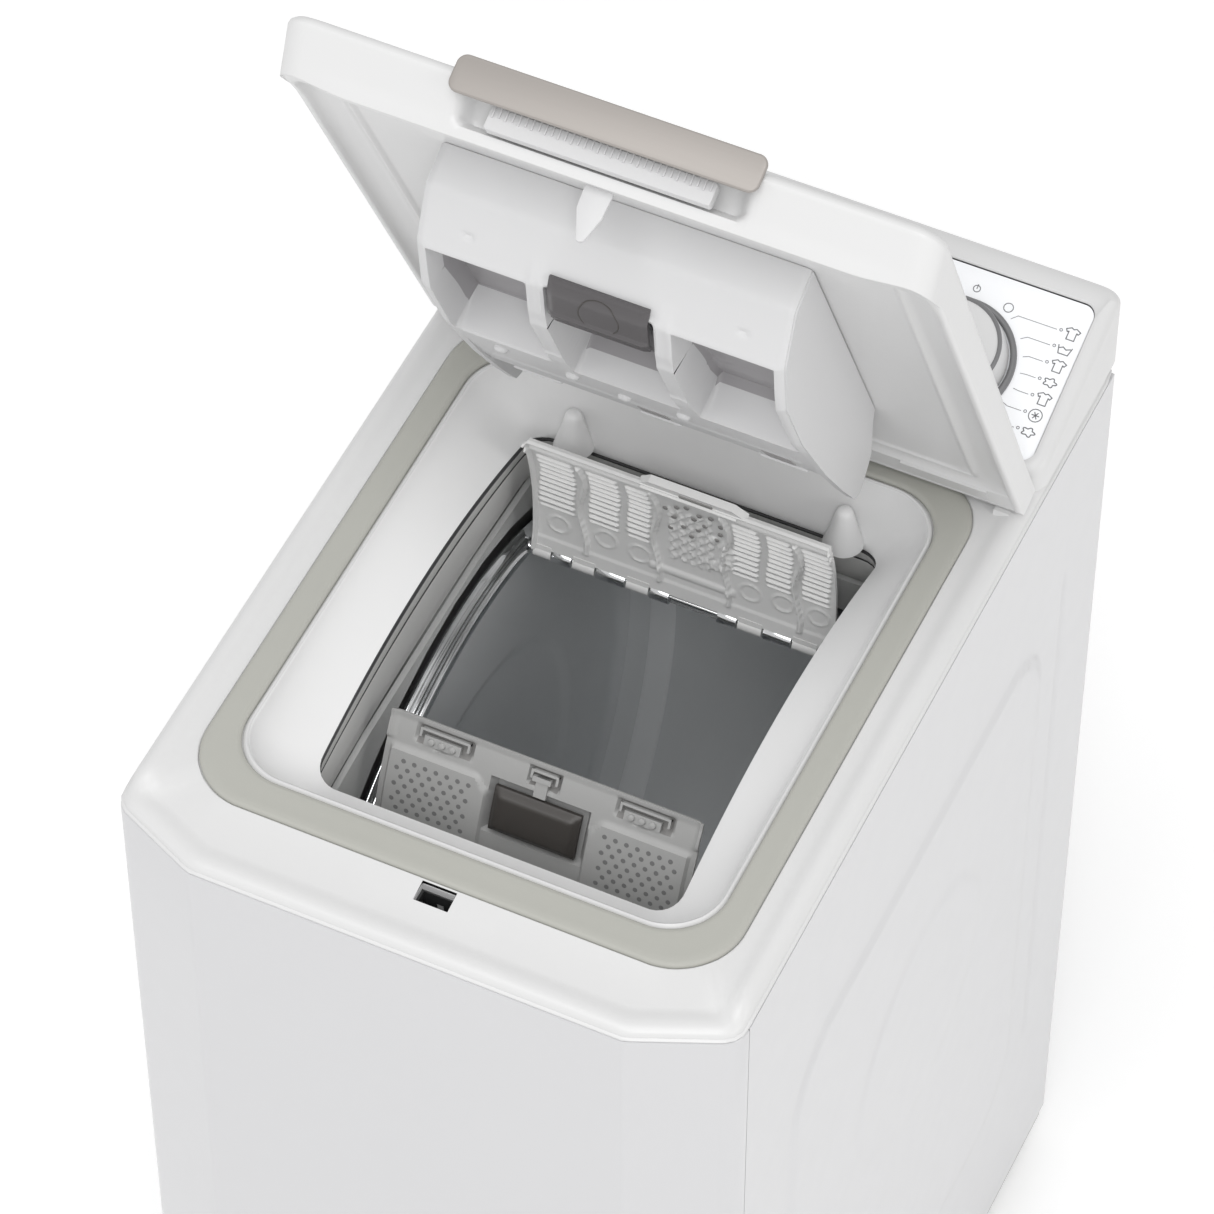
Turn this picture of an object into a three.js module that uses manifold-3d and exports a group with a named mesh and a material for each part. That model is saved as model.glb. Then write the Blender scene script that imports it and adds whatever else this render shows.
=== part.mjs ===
// Narrow top-loading washing machine, millimetres, +Z up, front facing -Y, centred on the floor.
import * as THREE from 'three';
import { mergeVertices } from 'three/addons/utils/BufferGeometryUtils.js';
import Module from 'manifold-3d';

const wasm = await Module();
wasm.setup();
const { Manifold, Mesh } = wasm;

// ---------------------------------------------------------------- cabinet dimensions
const HALF_W = 200;            // half width over the side panels
const FRONT_Y = -297.5;        // flat middle of the front panel
const CORNER_Y = -270.6;       // where the front chamfer would meet the side plane
const REAR_Y = 286;            // rear edge of the side panels
const CHAMFER_X = 139;         // half width of the flat middle of the front
const SHEET = 1.2;             // cabinet sheet thickness
const GAP = 0.3;               // assembly clearance between neighbours
const PANEL_BOTTOM = 30;
const PANEL_TOP = 824;         // top edge of the front and side panels
const COVER_Z = 835;           // plateau of the top cover
const APRON_Z = 830;           // lower apron in front of the lid opening

// ---------------------------------------------------------------- drum and tub
const AXIS_Y = 8;
const AXIS_Z = 490;
const DRUM_R = 240;
const DRUM_HALF = 118;
const TUB_R = 252;             // inside radius of the tub
const TUB_WALL = 4;
const TUB_HALF = 140;          // inside half length of the tub
const DOOR_CENTRE = -10;       // door centre, degrees from straight up, towards the front
const DOOR_HALF = 29.5;        // half opening angle of the drum door
const DOOR_X = 104;            // half width of the drum opening
const FLAP_X = 102.5;          // half width of the flaps
const REAR_FLAP_SPAN = 29;
const FRONT_FLAP_SPAN = 26.5;
const REAR_FLAP_OPEN = 80;     // opening angle of the rear flap at rest
const FRONT_FLAP_OPEN = 43;    // opening angle of the front flap at rest

// ---------------------------------------------------------------- throat
const RIM_X = 152;
const RIM_Y0 = -221;
const RIM_Y1 = 133;
const NECK_X = 118;
const NECK_Y0 = -190;
const NECK_Y1 = 128;

// ---------------------------------------------------------------- lid
const LID_AXIS_Y = 150;
const LID_AXIS_Z = 850;
const LID_OPEN = 65.25;        // opening angle at rest, degrees
const LID_AXIS_U = 5;          // hinge axis in lid coordinates (u to the front, v up)
const LID_AXIS_V = 10.7;
const LID_X = 198;
const LID_U = 441;
const LID_V = 27;

// ---------------------------------------------------------------- console
const CONSOLE_FRONT_Y = 163;
const CONSOLE_REAR_Y = 297.5;
const CONSOLE_FRONT_Z = 853;
const CONSOLE_TOP_Y = 279;
const CONSOLE_TOP_Z = 894.5;
const CONSOLE_SLOPE = Math.atan2(CONSOLE_TOP_Z - CONSOLE_FRONT_Z, CONSOLE_TOP_Y - CONSOLE_FRONT_Y);
const KNOB_X = 118;
const KNOB_S = 56;             // knob centre, distance up the slope from its front edge

const root = new THREE.Group();
root.name = 'top_load_washing_machine';

// ================================================================ colours
const paint = {
  white: [0xe6e6e8, 0.35, 0.0],
  whitePlastic: [0xe4e4e6, 0.4, 0.0],
  paleGrey: [0xc9c9c8, 0.5, 0.0],
  bandGrey: [0xaeaea7, 0.6, 0.0],
  midGrey: [0x8b898a, 0.5, 0.0],
  darkGrey: [0x55524f, 0.5, 0.0],
  black: [0x1d1d1e, 0.6, 0.0],
  champagne: [0xb9b1aa, 0.35, 0.8],
  steel: [0xb4b6b8, 0.3, 0.9],
  castMetal: [0x7c7e80, 0.5, 0.7],
  zinc: [0x9aa0a4, 0.4, 0.8],
  concrete: [0xa6a39c, 0.9, 0.0],
  tubGrey: [0xb9bab8, 0.6, 0.0],
  copper: [0x9c6a45, 0.4, 0.9],
  boardGreen: [0x2f5c3e, 0.6, 0.0],
};

// ================================================================ helpers
const rad = THREE.MathUtils.degToRad;

function toSolid(geometry) {
  const g = geometry.clone();
  g.deleteAttribute('normal');
  g.deleteAttribute('uv');
  const m = mergeVertices(g, 1e-4);
  return new Manifold(new Mesh({
    numProp: 3,
    vertProperties: Float32Array.from(m.attributes.position.array),
    triVerts: Uint32Array.from(m.index.array),
  }));
}

function toGeometry(solid) {
  const mesh = solid.getMesh();
  const g = new THREE.BufferGeometry();
  const positions = Float32Array.from(mesh.vertProperties);
  g.setAttribute('position', new THREE.BufferAttribute(positions, 3));
  g.setIndex(new THREE.BufferAttribute(Uint32Array.from(mesh.triVerts), 1));
  g.computeVertexNormals();
  return g;
}

function add(name, solid, colour) {
  const [hex, roughness, metalness] = paint[colour];
  const material = new THREE.MeshStandardMaterial({ color: hex, roughness, metalness });
  const mesh = new THREE.Mesh(toGeometry(solid), material);
  mesh.name = name;
  root.add(mesh);
}

function box(x0, x1, y0, y1, z0, z1) {
  const g = new THREE.BoxGeometry(x1 - x0, y1 - y0, z1 - z0);
  g.translate((x0 + x1) / 2, (y0 + y1) / 2, (z0 + z1) / 2);
  return toSolid(g);
}

function cylinder(axis, r, a, b, at, segments = 32, r2 = r) {
  // radius r at the low end (a) and r2 at the high end (b), centred on the two other coordinates
  const g = new THREE.CylinderGeometry(r2, r, b - a, segments);
  if (axis === 'x') {
    g.rotateZ(-Math.PI / 2);
    g.translate((a + b) / 2, at[0], at[1]);
  } else if (axis === 'y') {
    g.translate(at[0], (a + b) / 2, at[1]);
  } else {
    g.rotateX(Math.PI / 2);
    g.translate(at[0], at[1], (a + b) / 2);
  }
  return toSolid(g);
}

function extrudeZ(points, z0, z1) {
  const shape = new THREE.Shape(points.map(([x, y]) => new THREE.Vector2(x, y)));
  const g = new THREE.ExtrudeGeometry(shape, { depth: z1 - z0, bevelEnabled: false });
  g.translate(0, 0, z0);
  return toSolid(g);
}

function extrudeX(points, x0, x1) {
  // points are (y, z)
  const s = extrudeZ(points, x0, x1);
  return s.transform(matrix([0, 1, 0], [0, 0, 1], [1, 0, 0], [0, 0, 0]));
}

function extrudeY(points, y0, y1) {
  // points are (z, x)
  const s = extrudeZ(points, y0, y1);
  return s.transform(matrix([0, 0, 1], [1, 0, 0], [0, 1, 0], [0, 0, 0]));
}

function matrix(xAxis, yAxis, zAxis, origin) {
  return [...xAxis, 0, ...yAxis, 0, ...zAxis, 0, ...origin, 1];
}

function union(...solids) {
  return Manifold.union(solids.flat());
}

function arc(cx, cy, r, from, to, steps) {
  const points = [];
  for (let i = 0; i <= steps; i += 1) {
    const t = rad(from + ((to - from) * i) / steps);
    points.push([cx + r * Math.cos(t), cy + r * Math.sin(t)]);
  }
  return points;
}

function fillet(corners, steps = 4) {
  // corners are (x, y, radius) of a polygon; each corner is rounded with its radius
  const out = [];
  const n = corners.length;
  for (let i = 0; i < n; i += 1) {
    const [px, py] = corners[(i + n - 1) % n];
    const [x, y, r] = corners[i];
    const [qx, qy] = corners[(i + 1) % n];
    const a = new THREE.Vector2(px - x, py - y).normalize();
    const b = new THREE.Vector2(qx - x, qy - y).normalize();
    if (!r) {
      out.push([x, y]);
      continue;
    }
    const half = Math.acos(THREE.MathUtils.clamp(a.dot(b), -1, 1)) / 2;
    const t = r / Math.tan(half);
    const start = new THREE.Vector2(x, y).addScaledVector(a, t);
    const end = new THREE.Vector2(x, y).addScaledVector(b, t);
    const bisector = a.clone().add(b).normalize();
    const centre = new THREE.Vector2(x, y).addScaledVector(bisector, r / Math.sin(half));
    for (let k = 0; k <= steps; k += 1) {
      const p = start.clone().lerp(end, k / steps).sub(centre).setLength(r).add(centre);
      out.push([p.x, p.y]);
    }
  }
  return out;
}

function roundedRect(x0, x1, y0, y1, r, steps = 4) {
  return fillet([[x0, y0, r], [x1, y0, r], [x1, y1, r], [x0, y1, r]], steps);
}

function cabinetOutline(inset, rearY = REAR_Y) {
  // plan outline of the cabinet, moved inwards by inset
  const slope = Math.atan2(CORNER_Y - FRONT_Y, HALF_W - CHAMFER_X);
  const cx = CHAMFER_X - inset * Math.tan(slope / 2);
  const ky = CORNER_Y + inset / Math.cos(slope) - inset * Math.tan(slope);
  const r = Math.max(4, 16 - inset);
  return fillet([
    [-(HALF_W - inset), rearY - inset, 0],
    [-(HALF_W - inset), ky, r],
    [-cx, FRONT_Y + inset, 9],
    [cx, FRONT_Y + inset, 9],
    [HALF_W - inset, ky, r],
    [HALF_W - inset, rearY - inset, 0],
  ], 5);
}

function ringLoop(s) {
  // one rounded-rectangle loop; z may depend on y, the front edge may bow forwards
  const bow = s.bow || 0;
  const steps = s.steps || 4;
  const spanX = s.spanX || 3;
  const spanY = s.spanY || 5;
  const points = [];
  const corner = (cx, cy, from) => {
    arc(cx, cy, s.r, from, from + 90, steps).forEach((p) => points.push(p));
  };
  const between = (count) => {
    points.gaps = points.gaps || [];
    points.gaps.push([points.length, count]);
  };
  corner(s.hx - s.r, s.y1 - s.r, 0);
  between(spanX);
  corner(-s.hx + s.r, s.y1 - s.r, 90);
  between(spanY);
  corner(-s.hx + s.r, s.y0 + s.r, 180);
  between(spanX);
  corner(s.hx - s.r, s.y0 + s.r, 270);
  between(spanY);
  const loop = [];
  const n = points.length;
  for (let i = 0; i < n; i += 1) {
    loop.push(points[i]);
    const gap = points.gaps.find(([at]) => at === i + 1);
    if (gap) {
      const [ax, ay] = points[i];
      const [bx, by] = points[(i + 1) % n];
      for (let k = 1; k < gap[1]; k += 1) {
        loop.push([ax + ((bx - ax) * k) / gap[1], ay + ((by - ay) * k) / gap[1]]);
      }
    }
  }
  return loop.map(([x, y]) => {
    const towardsFront = THREE.MathUtils.clamp((s.y0 + 60 - y) / 60, 0, 1);
    const yy = y - bow * towardsFront * (1 - (x / s.hx) ** 2);
    const z = typeof s.z === 'function' ? s.z(yy) : s.z;
    return [x, yy, z];
  });
}

function frameLoft(sections) {
  // closed ring body: consecutive loops joined all the way round
  const loops = sections.map(ringLoop);
  const n = loops[0].length;
  const m = loops.length;
  const positions = loops.flat(2);
  const index = [];
  for (let j = 0; j < m; j += 1) {
    const jj = (j + 1) % m;
    for (let i = 0; i < n; i += 1) {
      const ii = (i + 1) % n;
      index.push(j * n + i, j * n + ii, jj * n + ii);
      index.push(j * n + i, jj * n + ii, jj * n + i);
    }
  }
  const g = new THREE.BufferGeometry();
  g.setAttribute('position', new THREE.Float32BufferAttribute(positions, 3));
  g.setIndex(index);
  const solid = toSolid(g);
  if (solid.volume() > 0) return solid;
  const flipped = [];
  for (let i = 0; i < index.length; i += 3) {
    flipped.push(index[i], index[i + 2], index[i + 1]);
  }
  g.setIndex(flipped);
  return toSolid(g);
}

function sweep(points, radius, sides = 8, bore = 0) {
  // round bar, or a pipe when bore > 0, along a list of points
  const path = points.map((p) => new THREE.Vector3(...p));
  const loops = [];
  let normal = null;
  path.forEach((p, i) => {
    const a = path[Math.max(0, i - 1)];
    const b = path[Math.min(path.length - 1, i + 1)];
    const t = b.clone().sub(a).normalize();
    if (!normal) {
      const up = Math.abs(t.z) < 0.9 ? new THREE.Vector3(0, 0, 1) : new THREE.Vector3(1, 0, 0);
      normal = up.cross(t).normalize();
    } else {
      normal.addScaledVector(t, -normal.dot(t)).normalize();
    }
    const side = t.clone().cross(normal);
    loops.push([p, normal.clone(), side]);
  });
  const ring = ([p, n, s], r) => {
    const out = [];
    for (let k = 0; k < sides; k += 1) {
      const a = (2 * Math.PI * k) / sides;
      out.push(p.clone().addScaledVector(n, r * Math.cos(a)).addScaledVector(s, r * Math.sin(a)));
    }
    return out;
  };
  const positions = [];
  const index = [];
  const push = (vs) => {
    const at = positions.length / 3;
    vs.forEach((v) => positions.push(v.x, v.y, v.z));
    return at;
  };
  const join = (a, b) => {
    for (let k = 0; k < sides; k += 1) {
      const kk = (k + 1) % sides;
      index.push(a + k, a + kk, b + kk, a + k, b + kk, b + k);
    }
  };
  const outer = loops.map((l) => push(ring(l, radius)));
  for (let i = 0; i + 1 < outer.length; i += 1) join(outer[i], outer[i + 1]);
  const last = loops.length - 1;
  if (bore > 0) {
    const inner = loops.map((l) => push(ring(l, bore)));
    for (let i = 0; i + 1 < inner.length; i += 1) join(inner[i + 1], inner[i]);
    join(outer[last], inner[last]);
    join(inner[0], outer[0]);
  } else {
    const c0 = push([path[0]]);
    const c1 = push([path[last]]);
    for (let k = 0; k < sides; k += 1) {
      const kk = (k + 1) % sides;
      index.push(c0, outer[0] + kk, outer[0] + k);
      index.push(c1, outer[last] + k, outer[last] + kk);
    }
  }
  const g = new THREE.BufferGeometry();
  g.setAttribute('position', new THREE.Float32BufferAttribute(positions, 3));
  g.setIndex(index);
  const solid = toSolid(g);
  if (solid.volume() > 0) return solid;
  const flipped = [];
  for (let i = 0; i < index.length; i += 3) flipped.push(index[i], index[i + 2], index[i + 1]);
  g.setIndex(flipped);
  return toSolid(g);
}

function drumPoint(angle, r) {
  // angle in degrees from straight up, positive towards the rear
  return [AXIS_Y + r * Math.sin(rad(angle)), AXIS_Z + r * Math.cos(rad(angle))];
}

function sector(r0, r1, from, to, x0, x1, steps) {
  // part of a ring about the drum axis, extruded along X
  const outer = [];
  const inner = [];
  for (let i = 0; i <= steps; i += 1) {
    const a = from + ((to - from) * i) / steps;
    outer.push(drumPoint(a, r1));
    inner.push(drumPoint(a, r0));
  }
  return extrudeX([...outer, ...inner.reverse()].reverse(), x0, x1);
}

function rotateAbout(solid, y, z, degrees) {
  // turn about an axis along X through (y, z)
  return solid.translate([0, -y, -z]).rotate([degrees, 0, 0]).translate([0, y, z]);
}

function placeLid(solid) {
  // from lid coordinates (x, -u, v) to the open lid
  return solid.translate([0, LID_AXIS_U, -LID_AXIS_V])
    .rotate([-LID_OPEN, 0, 0])
    .translate([0, LID_AXIS_Y, LID_AXIS_Z]);
}

function lidBox(x0, x1, u0, u1, v0, v1) {
  return box(x0, x1, -u1, -u0, v0, v1);
}

function lidExtrude(points, x0, x1) {
  // points are (u, v)
  return extrudeX(points.map(([u, v]) => [-u, v]), x0, x1);
}

function placeConsole(solid) {
  // from console coordinates (x, distance up the slope, height above it)
  return solid.rotate([THREE.MathUtils.radToDeg(CONSOLE_SLOPE), 0, 0])
    .translate([0, CONSOLE_FRONT_Y, CONSOLE_FRONT_Z]);
}

// ================================================================ cabinet
function baseFrame() {
  const pan = extrudeZ(cabinetOutline(2.2), 18, 60);
  const pocket = extrudeZ(cabinetOutline(6), 22, 70);
  const bosses = [];
  const bores = [];
  for (const x of [-160, 160]) {
    for (const y of [-228, 245]) {
      bosses.push(cylinder('z', 14, 18, 40, [x, y], 20));
      bores.push(cylinder('z', 5.4, 10, 50, [x, y], 16));
    }
  }
  const ribs = [box(-195, 195, -110, -107, 20, 40), box(-195, 195, 200, 203, 20, 40)];
  const pads = [];
  for (const x of [-105, 105]) pads.push(box(x - 12, x + 12, -128, -112, 20, 44));
  const trimmed = union(pan.subtract(pocket), bosses, ribs, pads);
  return trimmed.subtract(union(bores));
}

function sidePanel(side) {
  const y0 = CORNER_Y + 12;
  const inX = HALF_W - SHEET;
  const section = extrudeZ([
    [HALF_W - 14, y0], [HALF_W, y0], [HALF_W, REAR_Y], [HALF_W - 20, REAR_Y],
    [HALF_W - 20, REAR_Y - SHEET], [inX, REAR_Y - SHEET], [inX, y0 + SHEET],
    [HALF_W - 14, y0 + SHEET],
  ], PANEL_BOTTOM + 34, PANEL_TOP);
  const foot = box(inX + 0.1, HALF_W - 0.1, y0 + 0.4, REAR_Y - 0.4, PANEL_BOTTOM, PANEL_BOTTOM + 36);
  const topFlange = box(HALF_W - 16, HALF_W - 0.5, y0 + 0.5, REAR_Y - 0.5, PANEL_TOP - 1.5,
    PANEL_TOP - 0.3);
  // pressed field with a large rounded outline and a round boss in line with the drum
  const depth = 2;
  const field = (d) => fillet([
    [-190 + d, 172 + d, 60 - d], [195 - d, 172 + d, 26 - d],
    [195 - d, 684 - d, 60 - d], [-190 + d, 684 - d, 70 - d],
  ], 5);
  const out = HALF_W + depth - SHEET;
  const fieldOuter = extrudeX(field(0), HALF_W - 0.1, out);
  const fieldInner = extrudeX(field(SHEET), HALF_W - SHEET - 1, out - SHEET);
  const boss = cylinder('x', 97, out - 0.1, out + 1, [12, 490], 40);
  const bossInner = cylinder('x', 95.8, out - SHEET - 0.5, out + 1 - SHEET, [12, 490], 40);
  const hanger = box(163, HALF_W - 0.4, AXIS_Y - 14, AXIS_Y + 14, 804, 807)
    .subtract(cylinder('z', 3.2, 800, 812, [172, AXIS_Y], 12));
  let panel = union(section, foot, topFlange, fieldOuter).subtract(fieldInner);
  panel = union(panel, boss, hanger).subtract(bossInner);
  return side > 0 ? panel : panel.mirror([1, 0, 0]);
}

function frontPanel() {
  const outer = extrudeZ(cabinetOutline(0), PANEL_BOTTOM, PANEL_TOP);
  const inner = extrudeZ(cabinetOutline(SHEET), PANEL_BOTTOM - 5, PANEL_TOP - SHEET);
  const cutBehind = box(-220, 220, CORNER_Y + 12 - GAP, 320, 0, 900);
  const window = extrudeZ(cabinetOutline(12), PANEL_BOTTOM - 5, PANEL_TOP + 5);
  const shell = outer.subtract(union(inner, cutBehind, window));
  const hem = (s) => box(s > 0 ? HALF_W - 10 : -HALF_W, s > 0 ? HALF_W : -HALF_W + 10,
    CORNER_Y + 12 - GAP - SHEET, CORNER_Y + 12 - GAP, PANEL_BOTTOM + 34, PANEL_TOP);
  return union(shell, hem(1), hem(-1));
}

function rearPanel() {
  const y0 = REAR_Y + GAP;
  const sheet = box(-196, 196, y0, y0 + SHEET, 36, 822);
  const ribs = [];
  for (const z of [220, 380, 540]) {
    ribs.push(box(-120, 120, y0 + SHEET - 0.1, y0 + SHEET + 2.5, z, z + 16));
  }
  const cutters = [];
  for (const z of [220, 380, 540]) {
    cutters.push(box(-118.8, 118.8, y0 - 1, y0 + 2.5, z + SHEET, z + 16 - SHEET));
  }
  cutters.push(cylinder('y', 15, y0 - 2, y0 + 5, [130, 770], 16));
  cutters.push(cylinder('y', 9, y0 - 2, y0 + 5, [-140, 770], 14));
  cutters.push(cylinder('y', 12, y0 - 2, y0 + 5, [-150, 700], 14));
  for (const x of [-150, 150]) cutters.push(cylinder('y', 11, y0 - 2, y0 + 5, [x, 520], 14));
  return union(sheet, ribs).subtract(union(cutters));
}

function topCover() {
  // worktop with a lowered front apron, a raised edge bead and the throat down to the drum
  const skirt = extrudeZ(cabinetOutline(0.6), PANEL_TOP + GAP, COVER_Z);
  const hollow = extrudeZ(cabinetOutline(4), PANEL_TOP - 10, COVER_Z - 3);
  const bead = extrudeZ(cabinetOutline(2.5), COVER_Z - 1, COVER_Z + 3)
    .subtract(extrudeZ(cabinetOutline(9), COVER_Z - 5, COVER_Z + 5));
  const deckCut = box(-210, 210, 160, 300, COVER_Z - 0.01, COVER_Z + 6);
  const apronCut = extrudeX([
    [-310, APRON_Z], [-268, APRON_Z], [-250, COVER_Z], [-250, COVER_Z + 8], [-310, COVER_Z + 8],
  ], -HALF_W, HALF_W);
  const apronUnder = extrudeX([
    [-293, APRON_Z - 3], [-268, APRON_Z - 3], [-250, COVER_Z - 3], [-250, 815], [-293, 815],
  ], -180, 180);
  const plate = union(skirt.subtract(hollow), bead)
    .subtract(deckCut).subtract(apronCut);
  const apronPlate = extrudeX([
    [-290, APRON_Z - 3], [-268, APRON_Z - 3], [-250, COVER_Z - 3], [-250, COVER_Z - 0.01],
    [-268, APRON_Z - 0.01], [-290, APRON_Z - 0.01],
  ], -193, 193).intersect(extrudeZ(cabinetOutline(2), 800, 850));
  const throatHole = extrudeZ(roundedRect(-RIM_X, RIM_X, RIM_Y0, RIM_Y1, 34, 5), 700, 900);
  const arch = (y) => 812 - ((y + 40) ** 2) / 942;
  const throat = frameLoft([
    { hx: RIM_X, y0: RIM_Y0, y1: RIM_Y1, r: 34, z: COVER_Z },
    { hx: RIM_X - 8, y0: RIM_Y0 + 7, y1: RIM_Y1 - 3, r: 30, z: COVER_Z - 9 },
    { hx: NECK_X, y0: -184, y1: 122, r: 16, z: (y) => arch(y) },
    { hx: NECK_X + 3, y0: -187, y1: 125, r: 18, z: (y) => arch(y) },
    { hx: RIM_X - 5, y0: RIM_Y0 + 4, y1: RIM_Y1, r: 32, z: COVER_Z - 12 },
    { hx: RIM_X + 3, y0: RIM_Y0 - 3, y1: RIM_Y1 + 3, r: 37, z: COVER_Z - 3 },
    { hx: RIM_X + 3, y0: RIM_Y0 - 3, y1: RIM_Y1 + 3, r: 37, z: COVER_Z },
  ]);
  const cones = [];
  for (const x of [-90, 92]) cones.push(cylinder('z', 11, 796, 826, [x, 116], 20, 5));
  const lugs = [];
  for (const x of [-184, 184]) {
    lugs.push(extrudeX([
      [140, COVER_Z - 1], [160, COVER_Z - 1], [159, 848], ...arc(150, 850, 9, 0, 180, 8),
      [141, 848],
    ].reverse(), x - 5, x + 5).subtract(cylinder('x', 3.4, x - 9, x + 9, [150, 850], 16)));
  }
  const groove = frameLoft([
    { hx: 173.5, y0: -246.5, y1: 156.5, r: 40, z: COVER_Z - 1.2, bow: 6 },
    { hx: 173.5, y0: -246.5, y1: 156.5, r: 40, z: COVER_Z + 5, bow: 6 },
    { hx: RIM_X + 1, y0: RIM_Y0 - 1, y1: RIM_Y1 + 1, r: 35, z: COVER_Z + 5, bow: 2 },
    { hx: RIM_X + 1, y0: RIM_Y0 - 1, y1: RIM_Y1 + 1, r: 35, z: COVER_Z - 1.2, bow: 2 },
  ]);
  const lockSlot = box(-10, 12, -263.5, -250.5, 700, 900);
  let cover = union(plate.subtract(throatHole), apronPlate, throat);
  cover = cover.subtract(groove).subtract(lockSlot).subtract(apronUnder);
  return union(cover, cones, lugs);
}

function openingSeal() {
  return frameLoft([
    { hx: 173, y0: -246, y1: 156, r: 40, z: COVER_Z - 0.9, bow: 6 },
    { hx: 173, y0: -246, y1: 156, r: 40, z: COVER_Z + 0.6, bow: 6 },
    { hx: 169, y0: -242, y1: 152, r: 38, z: COVER_Z + 1.8, bow: 5.5 },
    { hx: 157, y0: -227, y1: 138, r: 36, z: COVER_Z + 1.8, bow: 3 },
    { hx: RIM_X + 1.6, y0: RIM_Y0 - 1.6, y1: RIM_Y1 + 1.6, r: 35.5, z: COVER_Z + 0.6, bow: 2 },
    { hx: RIM_X + 1.6, y0: RIM_Y0 - 1.6, y1: RIM_Y1 + 1.6, r: 35.5, z: COVER_Z - 0.9, bow: 2 },
  ]);
}

function throatGasket() {
  // bellows between the throat and the neck of the tub
  const arch = (y) => 812 - ((y + 40) ** 2) / 942;
  const level = (t) => (y) => {
    const top = arch(y) - 1.3;
    const low = 752.5 - ((y + 31) ** 2) / 2400;
    return top + (low - top) * t;
  };
  const s = (d, t) => ({
    spanX: 2,
    spanY: 4,
    steps: 3,
    hx: NECK_X + d,
    y0: -184 - d - 6 * t,
    y1: 122 + d + 5 * t,
    r: 16 + d,
    z: level(t),
  });
  return frameLoft([
    s(0.5, 0), s(4, 0.14), s(1, 0.28), s(5.5, 0.46), s(1, 0.64), s(4, 0.82), s(1, 1),
    s(3.5, 1), s(6.5, 0.82), s(3.5, 0.64), s(8, 0.46), s(3.5, 0.28), s(6.5, 0.14), s(3, 0),
  ]);
}

function doorLock() {
  const body = box(-26, 28, -272, -243, 778, 826);
  const slot = box(-9, 11, -262.5, -251.5, 786, 830);
  const boltBore = box(-1.6, 3.6, -252, -240, 812.4, 818.2);
  return body.subtract(union(slot, boltBore));
}

function lockBolt() {
  return union(box(-1, 3, -251, -232, 813, 817.6), box(-4, 6, -233.5, -230, 809, 821));
}

function foot(x, y) {
  const pad = cylinder('z', 19, 0, 7, [x, y], 18, 17);
  const nut = cylinder('z', 11, 7, 13, [x, y], 6);
  const stud = cylinder('z', 5, 6, 44, [x, y], 10);
  return union(pad, nut, stud);
}

// ================================================================ console
function consoleBody() {
  const section = (d) => [
    [CONSOLE_FRONT_Y + d, COVER_Z + 0.4],
    [CONSOLE_REAR_Y - 6 - d, COVER_Z + 0.4],
    [CONSOLE_REAR_Y - d, COVER_Z + 8],
    [CONSOLE_REAR_Y - d, CONSOLE_TOP_Z - 12 - d * 0.5],
    [CONSOLE_REAR_Y - 6 - d, CONSOLE_TOP_Z - 3 - d],
    [CONSOLE_TOP_Y - d * 0.4, CONSOLE_TOP_Z - d],
    [CONSOLE_FRONT_Y + d, CONSOLE_FRONT_Z - d],
  ];
  const outer = extrudeX(section(0), -HALF_W + 0.5, HALF_W - 0.5);
  const inner = extrudeX([
    [CONSOLE_FRONT_Y + 3, COVER_Z - 5], [CONSOLE_REAR_Y - 9, COVER_Z - 5],
    ...section(3).slice(1),
  ], -HALF_W + 4, HALF_W - 4);
  const length = Math.hypot(CONSOLE_TOP_Y - CONSOLE_FRONT_Y, CONSOLE_TOP_Z - CONSOLE_FRONT_Z);
  const recess = placeConsole(extrudeZ(roundedRect(-190, 190, 8, length - 6, 7), -1.5, 6));
  const holes = [cylinder('z', 11, -20, 20, [KNOB_X, KNOB_S], 24)];
  for (const x of [-150, -110, -70]) holes.push(box(x - 13, x + 13, 34, 48, -20, 20));
  const rearLeg = box(-150, 150, REAR_Y + 2, REAR_Y + 8, 800, 850);
  return outer.subtract(union(inner, recess, placeConsole(union(holes)))).subtract(rearLeg);
}

function consoleFascia() {
  const length = Math.hypot(CONSOLE_TOP_Y - CONSOLE_FRONT_Y, CONSOLE_TOP_Z - CONSOLE_FRONT_Z);
  const plate = extrudeZ(roundedRect(-189.5, 189.5, 8.5, length - 6.5, 6.5), -1.2, 0.3);
  const holes = [cylinder('z', 9.5, -5, 5, [KNOB_X, KNOB_S], 24)];
  for (const x of [-150, -110, -70]) {
    holes.push(extrudeZ(roundedRect(x - 12, x + 12, 35, 47, 4), -5, 5));
  }
  return placeConsole(plate.subtract(union(holes)));
}

function knobBezel() {
  const ring = cylinder('z', 40, 0.6, 4, [KNOB_X, KNOB_S], 36, 39);
  return placeConsole(ring.subtract(cylinder('z', 35.5, -2, 8, [KNOB_X, KNOB_S], 36)));
}

function programKnob() {
  const skirt = cylinder('z', 35, 0.8, 8, [KNOB_X, KNOB_S], 32, 34);
  const grip = cylinder('z', 33, 8, 21, [KNOB_X, KNOB_S], 32, 31);
  const dish = cylinder('z', 26, 19.6, 23, [KNOB_X, KNOB_S], 24, 29);
  const stem = cylinder('z', 8, -14, 2, [KNOB_X, KNOB_S], 20);
  const mark = box(KNOB_X - 1.2, KNOB_X + 1.2, KNOB_S + 22, KNOB_S + 31, 20.5, 21.6);
  return placeConsole(union(union(skirt, grip, stem).subtract(dish), mark));
}

function consoleButton(x) {
  const cap = extrudeZ(roundedRect(x - 11.4, x + 11.4, 35.6, 46.4, 3.6), -8, 2.6);
  return placeConsole(cap);
}

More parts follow.
